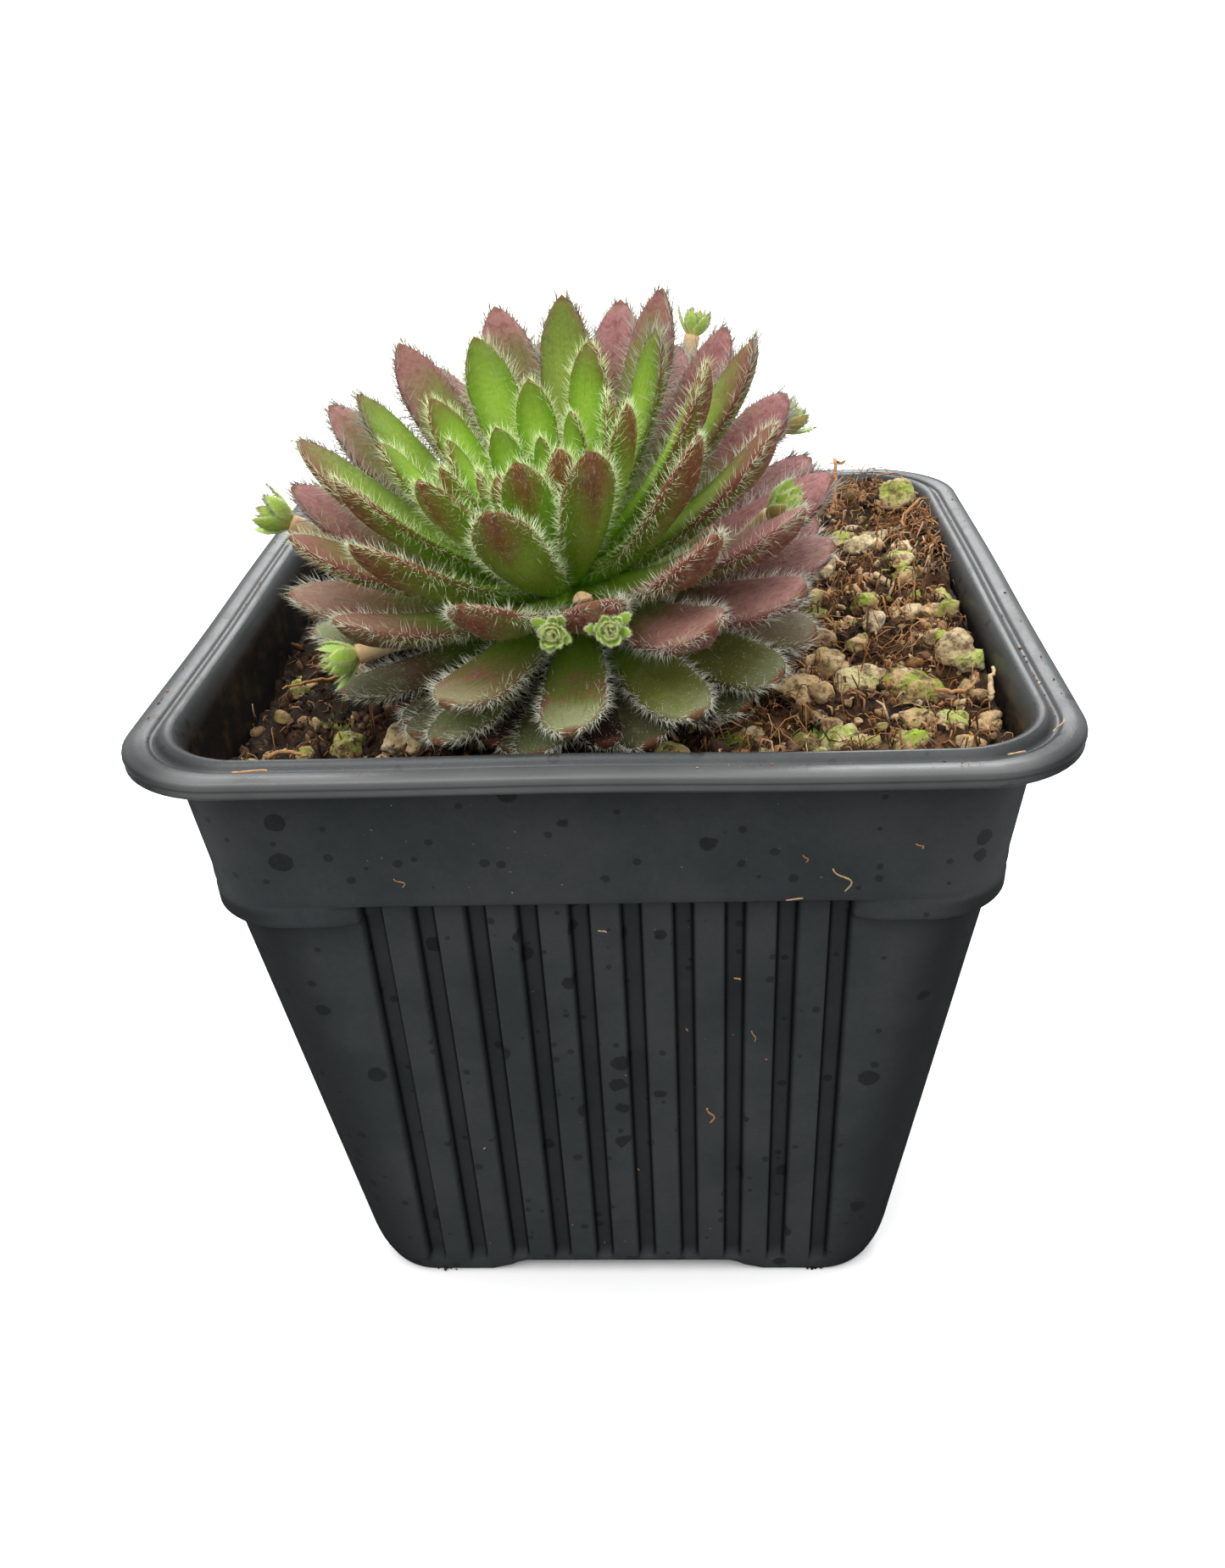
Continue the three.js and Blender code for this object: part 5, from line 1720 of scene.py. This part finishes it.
def addRunners(skin, leafFinish, hairFinish):
    luck = np.random.default_rng(runner["seed"])
    for number, (size, path) in enumerate(runners, 1):
        share = np.linspace(0, 1, runner["steps"])
        line = np.array([runnerPoint(path, s) for s in share])
        line = np.concatenate([line, [line[-1] + unit(line[-1] - line[-2]) * 0.5]])
        share = np.append(share, 1.02)
        thick = runner["radius"] + (runner["endRadius"] - runner["radius"]) * share ** 2
        thick = thick * size ** 0.5
        addTubes("runnerStem%d" % number, line[None], thick[None], runner["sides"], skin,
                 {"along": share}, "runner", ["runner_%d" % number])
        blades = chickBlades(number, size, path)
        addBlades("chickLeaves%d" % number, blades, chick, leafFinish, ["chick_%d" % number])
        every = np.arange(len(blades["age"]))
        addDown("chickDown%d" % number, blades, every, chick, luck, hairFinish)
        addFringe("chickFringe%d" % number, blades, every, chick, luck, hairFinish)
        addRunnerDown("runnerDown%d" % number, line, thick, luck, hairFinish)
    print("runners and chicks:", len(runners))


def addRunnerDown(name, line, thick, luck, material):
    count = runner["hairCount"]
    spot = luck.uniform(0.35, 1, count) * (len(line) - 2)
    step = spot.astype(int)
    part = (spot - step)[:, None]
    middle = line[step] * (1 - part) + line[step + 1] * part
    ahead = unit(line[step + 1] - line[step])
    out = luck.normal(size=(count, 3))
    out = unit(out - ahead * (out * ahead).sum(1)[:, None])
    ways = unit(out + ahead * 0.5 + luck.normal(0, 0.2, out.shape))
    layers = {"tint": 0.1, "green": 0.3, "short": 0.0}
    addHairs(name, middle + out * thick[step, None] * 0.95, ways, luck.uniform(0.3, 0.7, count),
             runner["hairRadius"], layers, material, "runner")


# Specks of soil and fibre that stick to the pot and its rim, and crumbs under its base.

specks = {
    "seed": 31,
    "bandCount": 150,
    "bodyCount": 170,
    "rimCount": 260,
    "footCount": 44,
}


def frontOfPot(x, height):
    # distance from the middle to the front face, where nothing is cut into it
    body = bodyHalf(height) - pot["grooveDepth"] * grooveShare(x)
    return np.where(height > pot["bandBottom"], bandHalf(height), body)


def turnAbout(points, face):
    # turns points of the front face on to another face
    cos, sin = np.cos(face * np.pi / 2), np.sin(face * np.pi / 2)
    return np.stack([points[:, 0] * cos - points[:, 1] * sin, points[:, 0] * sin + points[:, 1] * cos,
                     points[:, 2]], -1)


def addSpecks(material):
    luck = np.random.default_rng(specks["seed"])
    onBand, onBody = luck.uniform(61.5, 73, specks["bandCount"]), luck.uniform(4, 58, specks["bodyCount"])
    height = np.concatenate([onBand, onBody])
    x = luck.uniform(-0.9, 0.9, len(height)) * (pot["baseHalf"] - 6)
    walls = np.column_stack([x, -frontOfPot(x, height) - 0.02, height])
    walls = turnAbout(walls, luck.integers(0, 4, len(height)))
    count, half, top = specks["rimCount"], pot["rimHalf"], pot["height"]
    along = luck.uniform(-34, 34, count)
    offset = luck.choice([half - 2.5, half - 1.2, half - 2.6], count)
    rise = np.where(offset > half - 2, top - 0.3, top - 0.85)
    rim = turnAbout(np.column_stack([along, -offset, rise + 0.05]), luck.integers(0, 4, count))
    places = np.concatenate([walls, rim])
    sizes = 0.05 + 0.17 * luck.random(len(places)) ** 3
    stretch = luck.uniform(0.35, 1.0, (len(places), 3)) * (1.6, 1, 0.7)
    points, faces = lumps(places, sizes, stretch, 0, 0.35, luck)
    addPiece("potSpecks", points, faces, material, {"tint": luck.random(len(places))})


# fibres on the pot: start, end, bow sideways, thickness, paleness
potFibres = [
    ((21.6, -41.45, 64.6), (22.8, -41.2, 61.9), 0.7, 0.16, 0.9),
    ((18.8, -41.6, 66.2), (19.1, -41.4, 65.3), 0.2, 0.13, 0.7),
    ((-19.5, -41.5, 64.2), (-18.8, -41.4, 63.2), 0.35, 0.12, 0.8),
    ((9.8, -36.9, 31.6), (10.1, -36.5, 29.2), 0.4, 0.20, 0.8),
    ((-32.0, -44.1, 77.3), (-28.8, -44.0, 77.35), 0.25, 0.20, 0.85),
    ((29.0, -41.7, 67.3), (29.6, -41.6, 66.7), 0.2, 0.15, 0.7),
    ((-0.7, -39.0, 56.3), (0.1, -38.9, 56.0), 0.1, 0.18, 0.9),
    ((12.6, -38.5, 50.0), (13.2, -38.4, 49.7), 0.1, 0.18, 0.7),
    ((17.4, -40.6, 60.6), (19.0, -40.6, 60.8), 0.1, 0.16, 0.9),
    ((36.0, -43.4, 77.25), (37.6, -43.0, 77.3), 0.2, 0.16, 0.9),
    ((41.2, -38.0, 76.6), (42.4, -36.6, 77.2), 0.2, 0.15, 0.9),
    ((14.4, -38.1, 43.0), (14.7, -37.9, 41.4), 0.15, 0.12, 0.8),
]


def addPotFibres(material):
    luck = np.random.default_rng(specks["seed"] + 1)
    steps = 12
    share = np.linspace(0, 1, steps)[:, None]
    swing = np.sin(np.pi * share) - 0.6 * np.sin(2 * np.pi * share)
    starts, ends, bows, thick, tint = (np.array(column) for column in zip(*potFibres))
    lines = [start * (1 - share) + end * share + np.array((bow, 0, bow * 0.3)) * swing
             for start, end, bow in zip(starts, ends, bows)]
    thick = thick[:, None] * luck.uniform(0.4, 0.62, (len(lines), steps))
    addTubes("potFibres", np.array(lines), thick, 6, material, {"tint": tint})


def addFootCrumbs(material):
    # crumbs caught under the front corners of the base, darkened a little by painted shade
    luck = np.random.default_rng(specks["seed"] + 2)
    count = specks["footCount"]
    x = np.where(luck.random(count) < 0.6, 22.6, -22.4) + luck.normal(0, 0.8, count)
    y = -30.05 + luck.normal(0, 0.2, count)
    places = np.column_stack([x, y, luck.uniform(0.1, 0.5, count)])
    sizes = luck.uniform(0.10, 0.28, count)
    points, faces = lumps(places, sizes, luck.uniform(0.5, 1, (count, 3)), 1, 0.35, luck)
    points[:, 2] = np.maximum(points[:, 2], 0.02)
    addPiece("footCrumbs", points, faces, material, {"soilShade": 0.3})


addPot()
earth = earthMaterial()
pumice = pumiceMaterial()
fibre = fibreMaterial()
addSoilBed(earth)
addPumice(pumice)
addPeatCrumbs(earth)
addShreds(fibre)
addFibres(fibre)
addStrands(fibre)
addFlakes(flakeMaterial())
addMoss(mossMaterial())
print("soil laid")
hair = hairMaterial()
henLeaves = addHen(leafMaterial(), hair)
addLeafCrumb(henLeaves, pumice)
addStem(stemMaterial())
print("hen grown")
addRunners(runnerMaterial(), chickMaterial(), hair)
addSpecks(fibre)
addPotFibres(fibre)
addFootCrumbs(earth)

triangles = {piece.name: sum(len(face.vertices) - 2 for face in piece.data.polygons)
             for piece in bpy.data.objects if piece.type == "MESH"}
print("triangles:", sum(triangles.values()), max(triangles.items(), key=lambda item: item[1]))
